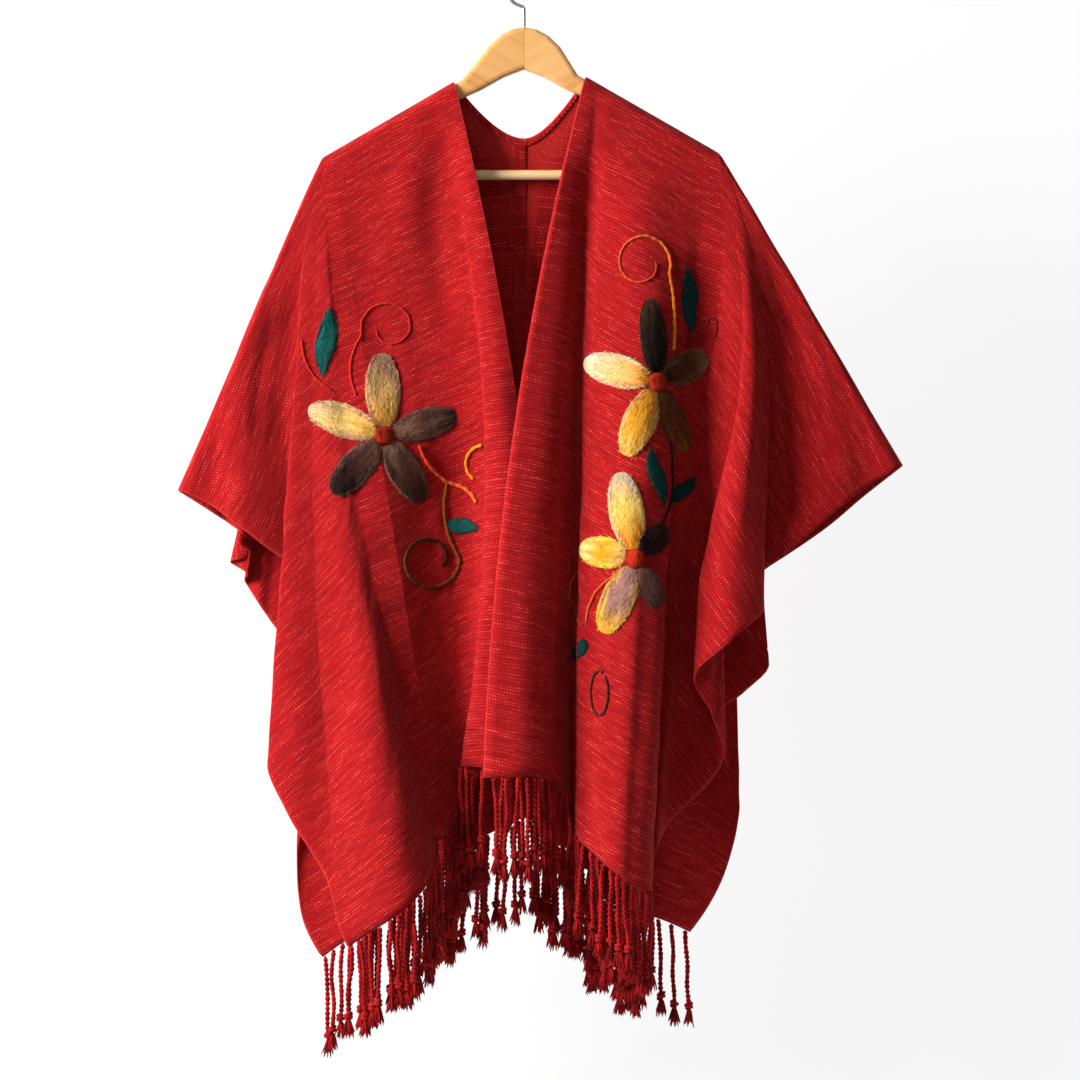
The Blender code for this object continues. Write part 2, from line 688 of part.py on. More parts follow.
def lift_clear(triangles, under):
    """Moves the corners out until points spread over each triangle are off the panel."""
    shares = [(a / FELT_SAMPLES, b / FELT_SAMPLES, (FELT_SAMPLES - a - b) / FELT_SAMPLES)
              for a in range(FELT_SAMPLES + 1) for b in range(FELT_SAMPLES + 1 - a)]
    for _ in range(FELT_PASSES):
        for triangle in triangles:
            for weights in shares:
                place = [sum(weight * corner[axis] for weight, corner in zip(weights, triangle))
                         for axis in range(3)]
                short = place[1] - under(place[0], place[2])
                if short > 0:
                    for weight, corner in zip(weights, triangle):
                        corner[1] -= short * min(1.0, weight * 2)


def add_felt(name, centre, outline, tree, material):
    """Felt that lies on a panel: its points are the panel's front, moved out by the gap."""
    mesh = bmesh.new()

    def under(x, z):
        origin = Vector((centre[0] + x, IN_FRONT, centre[1] + z)) * MM
        hit, normal = tree.ray_cast(origin, Vector((0.0, 1.0, 0.0)))[:2]
        return hit.y / MM - GAP / max(abs(normal.y), FELT_STEEPEST)

    low = [[[x * scale, under(x * scale, z * scale), z * scale] for x, z in outline]
           for scale, _ in FELT_RINGS]
    low.append([[0.0, under(0.0, 0.0), 0.0]])
    triangles = felt_triangles(low)
    corners = {id(corner): corner for triangle in triangles for corner in triangle}.values()
    lift_clear(triangles, under)
    for _ in range(MOST_LIFTS):
        points = [Vector((centre[0] + x, y, centre[1] + z)) * MM
                  for triangle in triangles for x, y, z in triangle]
        faces = [(first, first + 1, first + 2) for first in range(0, len(points), 3)]
        meeting = {pair[0] for pair in BVHTree.FromPolygons(points, faces).overlap(tree)}
        if not meeting:
            break
        for corner in {id(c): c for place in meeting for c in triangles[place]}.values():
            corner[1] -= GAP
    for corner in corners:
        corner[1] -= GAP
    thicknesses = [thick for _, thick in FELT_RINGS] + [FELT_THICK]
    high = [[[x, y - thick, z] for x, y, z in ring] for ring, thick in zip(low, thicknesses)]
    bottom, top = ([[mesh.verts.new(Vector((centre[0] + x, y, centre[1] + z)) * MM) for x, y, z in ring]
                    for ring in layer] for layer in (low, high))
    for layer in (bottom, top):
        for triangle in felt_triangles(layer):
            mesh.faces.new(triangle)
    for number in range(len(outline)):
        after = (number + 1) % len(outline)
        mesh.faces.new((bottom[0][number], bottom[0][after], top[0][after]))
        mesh.faces.new((bottom[0][number], top[0][after], top[0][number]))
    bmesh.ops.recalc_face_normals(mesh, faces=mesh.faces)
    return add_mesh(name, mesh, material)


def arm_line(side, below):
    """The arm's straight top edge, moved down: the cloth's shoulder line less its wall."""
    end_x, end_z = ARM_END[side]
    neck_x, neck_z = NECK_POINT[side]
    drop = GAP + WALL / 2 + ARM_CLEARANCE + below
    slope = math.atan2(neck_z - end_z, abs(neck_x - end_x))
    shift = drop / math.cos(slope)
    return (end_x, end_z - shift), (neck_x, neck_z - shift)


def hanger_outline(side):
    """The half hanger from the glue joint: over the hump, down the arm, round its end and back."""
    out = -1.0 if side == "left" else 1.0
    (end_x, end_z), (neck_x, neck_z) = arm_line(side, 0.0)
    slope = math.atan2(neck_z - end_z, abs(neck_x - end_x))
    joint = out * GAP / 2
    bar_end = out * (BAR_HALF_LENGTH + GAP)
    points = [(joint, HUMP_TOP)] + [(out * x, HUMP_TOP - drop) for x, drop in HUMP_LINE]
    points.append((neck_x - out * HUMP_FOOT, neck_z + HUMP_FOOT * math.tan(slope)))
    points += [(end_x - out * x, end_z - drop) for x, drop in ARM_END_LINE]
    points += [(bar_end, end_z - ARM_END_LINE[-1][1]), (bar_end, end_z - ARM_STEP)]
    points += [(neck_x, neck_z - ARM_HEIGHT)]
    points += [(out * x, HUMP_UNDER - drop) for x, drop in UNDER_LINE] + [(joint, HUMP_UNDER)]
    return points


def add_half_hanger(side, material):
    mesh = bmesh.new()
    outline = [mesh.verts.new(Vector((x, -ARM_HALF_THICK, z)) * MM) for x, z in hanger_outline(side)]
    face = mesh.faces.new(outline)
    extruded = bmesh.ops.extrude_face_region(mesh, geom=[face])
    moved = [item for item in extruded["geom"] if isinstance(item, bmesh.types.BMVert)]
    bmesh.ops.translate(mesh, verts=moved, vec=(0, 2 * ARM_HALF_THICK * MM, 0))
    bmesh.ops.recalc_face_normals(mesh, faces=mesh.faces)
    joint = GAP * MM
    rounded = [edge for edge in mesh.edges
               if not all(abs(end.co.x) < joint for end in edge.verts)
               and abs(edge.verts[0].co.y - edge.verts[1].co.y) < joint]
    bmesh.ops.bevel(mesh, geom=rounded, offset=ARM_ROUNDING * MM, segments=ROUNDING_STEPS, profile=0.5,
                    affect="EDGES", clamp_overlap=True, material=-1)
    piece = add_mesh(f"hanger_half_{side}", mesh, material)
    piece.data.set_sharp_from_angle(angle=math.radians(SHARP_WOOD))
    return piece


def tube(name, points, radius, sides, material):
    """A closed round tube along the points."""
    mesh = bmesh.new()
    rings = []
    side = Vector((0.0, 1.0, 0.0))
    for number, point in enumerate(points):
        ahead = points[min(number + 1, len(points) - 1)] - points[max(number - 1, 0)]
        other = ahead.cross(side).normalized()
        ring = []
        for turn in range(sides):
            angle = 2 * math.pi * turn / sides
            ring.append(mesh.verts.new((point + (side * math.sin(angle) + other * math.cos(angle))
                                        * radius) * MM))
        rings.append(ring)
    for left, right in zip(rings, rings[1:]):
        for turn in range(sides):
            after = (turn + 1) % sides
            mesh.faces.new((left[turn], left[after], right[after], right[turn]))
    mesh.faces.new(rings[0])
    mesh.faces.new(rings[-1])
    bmesh.ops.recalc_face_normals(mesh, faces=mesh.faces)
    piece = add_mesh(name, mesh, material)
    piece.data.set_sharp_from_angle(angle=math.radians(SHARP_WIRE))
    return piece


def hook_points():
    """Up from the wood, a small bend to the left, and round over the hang point."""
    centre_z = WIRE_RADIUS - HOOK_RADIUS
    low = centre_z - HOOK_RADIUS
    points = [Vector((0.0, 0.0, HUMP_TOP + GAP)), Vector((0.0, 0.0, low - HOOK_BEND))]
    for turn in HOOK_BEND_TURNS:
        angle = math.radians(turn)
        points.append(Vector((-HOOK_BEND * (1 - math.cos(angle)), 0.0,
                              low - HOOK_BEND * (1 - math.sin(angle)))))
    for step in range(HOOK_STEPS + 1):
        angle = math.radians(HOOK_START_TURN + (HOOK_END_TURN - HOOK_START_TURN) * step / HOOK_STEPS)
        points.append(Vector((-HOOK_RADIUS * math.sin(angle), 0.0,
                              centre_z - HOOK_RADIUS * math.cos(angle))))
    return points


def main():
    clear_scene()
    red_cloth = finish("handwoven wool", 0.55, 0.012, 0.014, 0.95)
    felt = finish("needle felted wool", 0.72, 0.52, 0.22, 0.95)
    leaf_felt = finish("teal felted wool", 0.02, 0.12, 0.11, 0.95)
    beech = finish("lacquered beech", 0.80, 0.45, 0.18, 0.4)
    wire = finish("zinc wire", 0.62, 0.62, 0.62, 0.3, 1.0)
    panels = {side: add_panel(side, red_cloth) for side in ("left", "right")}
    walls = [tree_of(panel) for panel in panels.values()]
    hung = []
    for facing, side in FANS:
        add_fringe(facing, side, panels[side], red_cloth, walls, hung)
    trees = {"panel_left": walls[0], "panel_right": walls[1]}
    for name, (centre, carrier, petals) in FLOWERS.items():
        add_felt(name, centre, flower_outline(petals), trees[carrier], felt)
    for name, (base, tip, width, carrier) in LEAVES.items():
        centre = ((base[0] + tip[0]) / 2, (base[1] + tip[1]) / 2)
        add_felt(name, centre, leaf_outline(base, tip, width), trees[carrier], leaf_felt)
    for side in ("left", "right"):
        add_half_hanger(side, beech)
    tube("hanger_bar", [Vector((x, 0.0, BAR_Z)) for x in (-BAR_HALF_LENGTH, BAR_HALF_LENGTH)],
         BAR_RADIUS, BAR_SIDES, beech)
    tube("hanger_hook", hook_points(), WIRE_RADIUS, WIRE_SIDES, wire)


main()
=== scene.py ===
import math
import random

import bmesh
import bpy
import numpy as np
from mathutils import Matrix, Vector, noise
from mathutils.bvhtree import BVHTree


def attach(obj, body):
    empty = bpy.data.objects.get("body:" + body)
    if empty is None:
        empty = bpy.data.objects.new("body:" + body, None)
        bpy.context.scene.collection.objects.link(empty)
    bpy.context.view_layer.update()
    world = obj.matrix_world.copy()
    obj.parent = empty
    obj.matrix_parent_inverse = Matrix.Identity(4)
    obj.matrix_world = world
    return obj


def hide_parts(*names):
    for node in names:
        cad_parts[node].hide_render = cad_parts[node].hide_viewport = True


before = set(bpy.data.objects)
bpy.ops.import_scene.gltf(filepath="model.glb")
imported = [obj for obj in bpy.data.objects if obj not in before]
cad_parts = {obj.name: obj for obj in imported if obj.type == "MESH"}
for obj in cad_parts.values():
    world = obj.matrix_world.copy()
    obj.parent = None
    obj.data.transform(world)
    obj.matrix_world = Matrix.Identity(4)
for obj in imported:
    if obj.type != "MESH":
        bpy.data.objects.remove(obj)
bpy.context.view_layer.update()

# An open-front handwoven poncho on a wooden hanger. The tables of folds and the cloth's sizes are in
# millimetres and degrees, and what is built from them is in metres. The front faces -Y.
mm = 0.001


def report(words):
    print("poncho:", words, flush=True)


def toLinear(code):
    # an sRGB hex colour as linear red, green, blue and full alpha
    parts = [int(code[place:place + 2], 16) / 255 for place in (1, 3, 5)]
    return [part / 12.92 if part <= 0.04045 else ((part + 0.055) / 1.055) ** 2.4 for part in parts] + [1.0]


def addNode(tree, kind, settings=None, **inputs):
    # one node with its settings; an input is a value, or an output socket to link
    node = tree.nodes.new(kind)
    for name, value in (settings or {}).items():
        setattr(node, name, value)
    for name, value in inputs.items():
        key = int(name[1:]) if name[0] == "i" and name[1:].isdigit() else name.replace("_", " ")
        socket = node.inputs[key]
        if isinstance(value, bpy.types.NodeSocket):
            tree.links.new(value, socket)
        else:
            socket.default_value = value
    return node


def newMaterial(name):
    material = bpy.data.materials.new(name)
    material.use_nodes = True
    tree = material.node_tree
    return material, tree, tree.nodes["Principled BSDF"]


def rampOf(tree, factor, stops):
    # a colour ramp with its stops as (place, hex colour)
    ramp = addNode(tree, "ShaderNodeValToRGB", Fac=factor)
    elements = ramp.color_ramp.elements
    while len(elements) < len(stops):
        elements.new(0.5)
    for element, (place, code) in zip(elements, stops):
        element.position = place
        element.color = toLinear(code)
    return ramp.outputs["Color"]


def greyRamp(tree, factor, low, high):
    # 0 below low, 1 above high
    mapped = addNode(tree, "ShaderNodeMapRange", {"interpolation_type": "SMOOTHSTEP"}, Value=factor)
    mapped.inputs["From Min"].default_value = low
    mapped.inputs["From Max"].default_value = high
    return mapped.outputs["Result"]


def mixColours(tree, factor, first, second, blend="MIX"):
    node = addNode(tree, "ShaderNodeMix", {"data_type": "RGBA", "blend_type": blend})
    for place, value in ((0, factor), (6, first), (7, second)):
        if isinstance(value, bpy.types.NodeSocket):
            tree.links.new(value, node.inputs[place])
        elif isinstance(value, str):
            node.inputs[place].default_value = toLinear(value)
        else:
            node.inputs[place].default_value = value
    return node.outputs[2]


def finishPiece(name, mesh, material, replaced=(), smooth=True):
    # a bmesh becomes a named piece of the object, riding on its only body
    data = bpy.data.meshes.new(name)
    mesh.to_mesh(data)
    mesh.free()
    data.materials.append(material)
    if smooth:
        data.shade_smooth()
    piece = bpy.data.objects.new(name, data)
    bpy.context.scene.collection.objects.link(piece)
    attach(piece, "root")
    if replaced:
        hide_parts(*replaced)
    return piece


def gridCorners(mesh, columns, rows):
    # a flat grid of columns by rows of new vertices, given column by column for moving into place
    made = bmesh.ops.create_grid(mesh, x_segments=columns - 1, y_segments=rows - 1, size=1)["verts"]
    places = np.array([corner.co[:] for corner in made])
    order = np.lexsort((np.round(places[:, 1], 6), np.round(places[:, 0], 6)))
    return [made[index] for index in order]


def tubeRings(path, radii, sides, start=0.0):
    # the rings of a tube along a path: points in mm, one radius for each, and the first side's turn
    path, radii = np.asarray(path, float), np.asarray(radii, float)
    ahead = np.gradient(path, axis=0)
    ahead /= np.maximum(np.linalg.norm(ahead, axis=1, keepdims=True), 1e-9)
    side = np.cross(ahead, (0.0, 1.0, 0.13))
    side /= np.maximum(np.linalg.norm(side, axis=1, keepdims=True), 1e-9)
    other = np.cross(ahead, side)
    angles = start + np.linspace(0, 2 * math.pi, sides + 1)
    return (path[:, None] + radii[:, None, None]
            * (side[:, None] * np.cos(angles)[None, :, None]
                + other[:, None] * np.sin(angles)[None, :, None]))


def addTubes(mesh, tubes, layers=None):
    # many closed tubes from one long grid: the strips between two tubes are cut away, and the
    # seam down each is welded. The end rings have no radius, so they close.
    rings = np.concatenate(tubes)
    sides = rings.shape[1]
    corners = gridCorners(mesh, sides, len(rings))
    points = rings.transpose(1, 0, 2).reshape(-1, 3) * mm
    for corner, point in zip(corners, points):
        corner.co = point
    lasts = set(np.cumsum([len(tube) for tube in tubes])[:-1] - 1)
    ringOf = {corner: number % len(rings) for number, corner in enumerate(corners)}
    if layers is not None:
        layer, values = layers
        for corner in corners:
            corner[layer] = values[ringOf[corner]]
    between = [face for face in {face for corner in corners for face in corner.link_faces}
               if min(ringOf[vert] for vert in face.verts) in lasts
               and len({ringOf[vert] for vert in face.verts}) == 2]
    bmesh.ops.delete(mesh, geom=between, context="FACES_ONLY")
    bmesh.ops.remove_doubles(mesh, verts=corners, dist=0.002 * mm)


# The cloth: two loom widths over the shoulders, joined down the middle of the back.
cloth = {
    "wall": 1.5,
    "armCloth": 240.0,
    "clothWidth": 642.0,
    "frontLength": 776.0,
    "backLength": {"left": 806.0, "right": 778.0},
    "shoulderRoll": 10.5,
    "foldFade": 520.0,
    "lateFade": 900.0,
    "lateFrom": 520.0,
    "lateFull": 760.0,
    "wingEnds": 400.0,
    "wingFade": 140.0,
    "topFade": 0.12,
    "reliefEdgeFade": 60.0,
    "creaseEdgeFade": 30.0,
    "armEnd": {"left": (-219.0, -199.0), "right": (212.0, -194.0)},
    "neckPoint": {"left": (-77.5, -117.0), "right": (68.5, -111.5)},
    "neckDrop": -178.0,
    "neckCurveX": {"left": -27.0, "right": 22.0},
    "neckEdge": 99.0,
    "neckRollIn": 0.12,
    "seamHalfGap": 0.2,
    "columnStep": 8.0,
    "neckColumns": 16,
    "slack": {"front right": 0.10, "front left": 0.0, "back right": 0.33, "back left": 0.42},
    "slackFrom": {"front": 0.42, "back": 0.12},
    "easings": 500,
    "easingPull": 1.7,
    "rollRows": 7,
    "hangingRows": 74,
}

# One row for each fold that runs down the cloth. along: where it starts, in mm from the hanger's
# end towards the neck. edge: where it ends, in mm round the cloth's edge from the wing tip, down
# the selvedge and along the hem. lean: degrees out from straight down. depth: degrees away from
# the middle of the garment. ease: hanging length over flat length. bow: sideways, in mm, outwards.
foldColumns = ("name", "along", "edge", "lean", "depth", "ease", "bow")
foldRows = {
    "front right": (
        ("wing top", 0, 0, 30.7, 0.0, 1.0, 0),
        ("wing middle", 0, 58, 22.6, 1.0, 1.0, 0),
        ("wing low", 0, 100, 17.2, 1.4, 1.01, 0),
        ("wing inner", 0, 155, 10.5, 1.5, 1.03, 0),
        ("wing goes behind", 0, 196, 6.0, 1.2, 1.04, 0),
        ("valley behind tube", 0, 238, 2.4, 1.6, 1.04, 0),
        ("tube outer side", 0, 284, 5.3, 3.4, 1.035, 4),
        ("tube front", 0, 334, 1.6, 5.6, 1.035, 2),
        ("tube inner side", 0, 392, -2.8, 4.6, 1.04, 0),
        ("tube turns in", 0, 446, -0.8, 2.6, 1.04, 0),
        ("behind tube", 0, 520, 0.2, 1.3, 1.03, 0),
        ("falls inwards", 0, 640, -4.6, 0.9, 1.0, 0),
        ("corner", 0, 776, -6.2, 1.1, 0.97, 0),
        ("behind ridge", 0, 862, -8.2, 1.8, 0.98, 0),
        ("ridge outer side", 33, 948, -3.2, 3.8, 1.015, 0),
        ("ridge crest", 71, 1033, -3.0, 6.0, 1.03, 0),
        ("ridge inner side", 134, 1118, -2.3, 4.2, 1.02, -8),
        ("valley", 150, 1222, -2.2, 1.9, 1.0, -10),
        ("centre outer side", 156, 1304, -3.4, 4.0, 0.993, -10),
        ("centre", 161, 1367, -5.3, 5.5, 1.0, -14),
        ("front edge", 165.4, 1418, -8.3, 5.8, 1.013, -22),
    ),
    "front left": (
        ("wing top", 0, 0, 23.8, 0.0, 1.0, 0),
        ("wing middle", 0, 50, 17.0, 0.8, 1.0, 0),
        ("wing low", 0, 96, 11.2, 1.1, 1.02, 0),
        ("wing goes behind", 0, 150, 5.2, 1.1, 1.04, 0),
        ("turn behind panel", 0, 262, -5.5, 1.5, 1.03, 0),
        ("comes back out", 0, 400, 0.6, 2.5, 1.01, 4),
        ("panel outer side", 0, 536, 4.9, 3.5, 1.0, 4),
        ("panel outer front", 0, 600, 3.1, 4.3, 1.0, 3),
        ("panel rise", 0, 690, -0.5, 5.1, 1.0, 0),
        ("corner", 0, 776, -2.1, 5.7, 1.0, 0),
        ("panel crest", 0, 862, -6.4, 6.7, 1.0, 0),
        ("panel shade", 0, 930, -8.6, 6.2, 0.995, 0),
        ("panel goes in", 0, 1056, -9.6, 3.6, 0.98, 0),
        ("behind strip", 60, 1210, -8.4, 1.5, 0.96, -14),
        ("turn under strip", 128, 1290, -4.6, 2.1, 0.97, -40),
        ("strip outer side", 146, 1340, -1.8, 3.3, 0.965, -38),
        ("strip front", 156, 1376, -4.6, 3.9, 0.98, -30),
        ("front edge", 163.4, 1418, -8.4, 3.2, 1.0, -18),
    ),
    "back right": (
        ("wing top", 0, 0, 30.7, 0.0, 1.0, 0),
        ("wing middle", 0, 60, 22.0, 0.8, 1.02, 0),
        ("wing low", 0, 110, 15.4, 1.0, 1.04, 0),
        ("wing inner", 0, 190, 5.8, 0.7, 1.05, 0),
        ("turn in", 0, 262, 0.8, 0.9, 1.03, 0),
        ("fold outer side", 0, 385, 5.6, 1.9, 1.03, 4),
        ("fold front", 0, 424, 3.0, 2.6, 1.03, 2),
        ("fold inner side", 0, 474, -0.4, 3.3, 1.02, 0),
        ("side", 0, 600, 2.0, 4.6, 1.0, 4),
        ("side low", 0, 700, 0.8, 4.9, 1.0, 2),
        ("corner", 0, 778, -1.9, 4.4, 1.0, 0),
        ("hem outer", 0, 815, -4.4, 3.5, 1.0, 0),
        ("first valley", 0, 900, -7.6, 1.9, 1.032, 0),
        ("first flute", 0, 985, -8.9, 4.2, 1.042, 0),
        ("second valley", 0, 1070, -9.9, 1.8, 1.046, 0),
        ("second flute", 0, 1150, -10.5, 3.9, 1.037, 0),
        ("third valley", 50, 1240, -8.5, 1.8, 1.048, 0),
        ("third flute", 120, 1314, -5.2, 3.3, 1.067, 0),
        ("neck point", 165.4, 1356, -3.1, 3.0, 1.074, 0),
        ("neck turn", 182, 1374, -2.9, 2.6, 1.081, 0),
        ("beside seam", 234, 1398, -0.6, 2.3, 1.078, 0),
        ("centre seam", 264, 1420, 0.0, 2.3, 1.107, 0),
    ),
    "back left": (
        ("wing top", 0, 0, 23.8, 0.0, 1.0, 0),
        ("wing middle", 0, 60, 15.8, 0.8, 1.02, 0),
        ("wing low", 0, 116, 10.6, 1.0, 1.03, 0),
        ("flap outer", 0, 200, 11.5, 2.6, 1.02, 0),
        ("flap front", 0, 262, 10.6, 4.0, 1.0, 0),
        ("flap low", 0, 320, 7.4, 4.4, 1.0, 0),
        ("goes behind", 0, 420, 1.6, 3.3, 1.0, 0),
        ("comes out", 0, 540, -0.4, 3.2, 1.0, 0),
        ("side", 0, 650, 2.2, 4.6, 1.0, 0),
        ("side low", 0, 748, 2.0, 5.1, 1.0, 0),
        ("corner", 0, 806, 0.4, 5.0, 1.0, 0),
        ("hem outer", 0, 860, -1.9, 4.1, 0.996, 0),
        ("first valley", 0, 940, -3.6, 1.9, 1.015, 0),
        ("first flute", 0, 1020, -5.0, 4.2, 1.026, 0),
        ("second valley", 0, 1100, -6.6, 1.7, 1.02, 0),
        ("second flute", 0, 1180, -8.0, 3.9, 1.007, 0),
        ("third valley", 55, 1275, -6.6, 1.7, 1.016, 0),
        ("third flute", 120, 1345, -4.5, 3.3, 1.029, 0),
        ("neck point", 163.4, 1386, -3.0, 3.0, 1.036, 0),
        ("neck turn", 180, 1404, -3.0, 2.6, 1.04, 0),
        ("beside seam", 232, 1424, -0.8, 2.3, 1.037, 0),
        ("centre seam", 264, 1448, 0.0, 2.3, 1.063, 0),
    ),
}

# The broad soft ridges and troughs of the hung cloth, one row each: front, back or only the
# front's wings, half its width and its height in mm, and the line it runs down as x and z in mm.
reliefRows = (
    ("front", 26, -11, ((65, -160), (62, -280), (58, -391), (56, -501), (55, -610), (54, -688))),
    ("front", 16, -10, ((54, -622), (53, -710), (54, -820), (56, -985))),
    ("front", 33, 9, ((128, -193), (130, -358), (132, -490), (134, -600), (133, -660))),
    ("front", 19, 8, ((136, -600), (132, -732), (130, -842), (126, -1050))),
    ("front", 22, -15, ((191, -290), (191, -420), (190, -501), (190, -610), (185, -732), (176, -864),
                        (167, -1018))),
    ("front", 22, 11, ((232, -237), (239, -391), (240, -501), (238, -644))),
    ("front", 26, -9, ((286, -302), (288, -446), (287, -534), (284, -622))),
    ("front", 26, 5, ((-4, -600), (3, -710), (8, -798), (12, -919))),
    ("front", 18, -7, ((-91, -127), (-92, -248), (-87, -358), (-79, -424))),
    ("front", 19, 5, ((-125, -138), (-130, -237), (-134, -346))),
    ("front", 22, 7, ((-68, -127), (-42, -248), (-23, -358), (-15, -413), (-20, -501), (-30, -610),
                      (-42, -710), (-51, -864))),
    ("front", 38, 13, ((-190, -468), (-172, -578), (-164, -688), (-158, -798), (-152, -908), (-146, -1084))),
    ("front", 38, -15, ((-79, -468), (-74, -578), (-72, -688), (-76, -798), (-81, -908), (-87, -1050))),
    ("wing", 32, -15, ((-243, -310), (-254, -390), (-258, -446), (-258, -501), (-254, -566),
                       (-250, -622), (-248, -698))),
    ("front", 26, 5, ((-312, -413), (-315, -501), (-311, -578), (-301, -654))),
    ("front", 19, -4, ((-227, -732), (-221, -820), (-218, -908), (-211, -1050))),
    ("front", 22, 3, ((-213, -258), (-218, -346), (-213, -435))),
    ("front", 20, 4, ((359, -468), (353, -534), (342, -610))),
    ("front", 15, -4, ((-339, -391), (-351, -490), (-353, -578))),
    ("front", 60, -9, ((-378, -330), (-378, -700))),
    ("front", 60, -9, ((402, -300), (402, -680))),
    ("back", 30, 9, ((-62, -200), (-66, -420), (-70, -640), (-74, -900))),
    ("back", 26, -9, ((-128, -230), (-136, -450), (-143, -680), (-150, -960))),
    ("back", 34, 10, ((-196, -260), (-206, -480), (-212, -700), (-216, -1000))),
    ("back", 24, -8, ((-262, -330), (-280, -460), (-290, -600))),
    ("back", 22, 6, ((-330, -420), (-345, -500), (-340, -600))),
    ("back", 24, -8, ((18, -230), (24, -450), (28, -700), (30, -900))),
    ("back", 30, 9, ((78, -210), (84, -420), (90, -650), (94, -900))),
    ("back", 26, -9, ((140, -240), (146, -470), (150, -700), (152, -980))),
    ("back", 32, 9, ((204, -260), (214, -480), (216, -700), (212, -960))),
    ("back", 24, -7, ((270, -320), (288, -450), (300, -560))),
    ("back", 20, 5, ((344, -400), (360, -470), (362, -560))),
)

# Soft creases and ridges on top of the folds. One row each: the fan, where it starts and ends as
# a share of the way down and mm round the edge, half its width in mm, and its height in mm.
creaseColumns = ("fan", "edgeStart", "downStart", "edgeEnd", "downEnd", "halfWidth", "height")
creaseRows = (
    ("front left", 1090, 0.06, 1120, 0.42, 12, -2.6),
    ("front left", 1180, 0.25, 1190, 0.85, 12, 2.0),
    ("front left", 1240, 0.10, 1262, 0.55, 9, -1.6),
    ("front left", 60, 0.35, 40, 0.92, 18, 1.8),
    ("front left", 110, 0.40, 96, 0.85, 10, -1.7),
    ("front right", 1290, 0.08, 1268, 0.50, 12, -2.4),
    ("front right", 1340, 0.12, 1352, 0.75, 14, 2.0),
    ("front right", 1180, 0.12, 1150, 0.55, 12, 2.0),
    ("front right", 1230, 0.20, 1222, 0.60, 10, -2.2),
    ("front right", 1100, 0.10, 1010, 0.48, 15, -1.6),
    ("front right", 930, 0.10, 900, 0.45, 13, 1.6),
    ("front right", 360, 0.12, 340, 0.95, 12, 2.2),
    ("front right", 300, 0.18, 300, 0.80, 9, -1.6),
    ("front right", 420, 0.20, 404, 0.62, 10, -1.8),
    ("front right", 70, 0.30, 52, 0.95, 16, 1.9),
    ("front right", 120, 0.28, 104, 0.80, 11, -1.9),
    ("front right", 20, 0.50, 12, 0.98, 9, 1.4),
    ("front right", 1060, 0.60, 1052, 0.98, 13, -2.0),
    ("front right", 990, 0.55, 975, 0.92, 9, 1.6),
    ("front right", 1385, 0.30, 1388, 0.90, 9, 1.2),
    ("back left", 80, 0.30, 60, 0.92, 15, 1.9),
    ("back left", 240, 0.30, 236, 0.95, 12, -2.0),
    ("back left", 600, 0.25, 610, 0.85, 14, 2.0),
    ("back left", 720, 0.35, 730, 0.95, 11, -1.8),
    ("back left", 980, 0.10, 985, 0.70, 13, 2.0),
    ("back left", 1140, 0.12, 1140, 0.80, 12, -2.0),
    ("back left", 1300, 0.10, 1310, 0.62, 11, 1.8),
    ("back left", 1412, 0.18, 1408, 0.85, 9, -1.4),
    ("back right", 70, 0.30, 52, 0.94, 15, 1.9),
    ("back right", 160, 0.32, 150, 0.90, 12, -1.8),
    ("back right", 560, 0.25, 570, 0.85, 13, 2.0),
    ("back right", 680, 0.35, 690, 0.92, 11, -1.8),
    ("back right", 940, 0.10, 945, 0.75, 13, 2.0),
    ("back right", 1110, 0.12, 1112, 0.80, 12, -2.0),
    ("back right", 1275, 0.10, 1280, 0.66, 11, 1.8),
    ("back right", 1385, 0.18, 1384, 0.85, 9, -1.4),
)


def smoothStep(value):
    value = np.clip(value, 0.0, 1.0)
    return value * value * (3.0 - 2.0 * value)


def makeFan(name):
    # one quarter of the cloth: the folds from one arm of the hanger, on one side of it
    facing, side = name.split()
    rows = foldRows[name]
    fan = {column: np.array([row[place] for row in rows], float)
           for place, column in enumerate(foldColumns) if column != "name"}
    fan["name"], fan["side"] = name, side
    fan["out"] = -1.0 if side == "left" else 1.0
    fan["facing"] = -1.0 if facing == "front" else 1.0
    fan["length"] = cloth["frontLength"] if facing == "front" else cloth["backLength"][side]
    fan["last"] = fan["edge"][-1]
    fan["arm"] = math.dist(cloth["armEnd"][side], cloth["neckPoint"][side])
    return fan


fans = {name: makeFan(name) for name in foldRows}


def foldCurve(fan, column, edge):
    # a smooth curve through the column's values, with each fold as a rounded turn
    values, knots = fan[column], fan["edge"]
    place = np.clip(np.searchsorted(knots, edge, "right") - 1, 0, len(knots) - 2)
    span = knots[place + 1] - knots[place]
    share = (edge - knots[place]) / span
    before, after = np.maximum(place - 1, 0), np.minimum(place + 2, len(knots) - 1)
    startSlope = (values[place + 1] - values[before]) / (knots[place + 1] - knots[before])
    endSlope = (values[after] - values[place]) / (knots[after] - knots[place])
    squared, cubed = share ** 2, share ** 3
    return ((2 * cubed - 3 * squared + 1) * values[place]
            + (cubed - 2 * squared + share) * span * startSlope
            + (3 * squared - 2 * cubed) * values[place + 1]
            + (cubed - squared) * span * endSlope)


def alongAt(fan, edge):
    return np.interp(edge, fan["edge"], fan["along"])


def edgeAt(fan, along):
    # the edge place of the fold that starts this far along the arm
    first = int(np.flatnonzero(fan["along"] <= 0)[-1])
    return np.interp(along, fan["along"][first:], fan["edge"][first:])


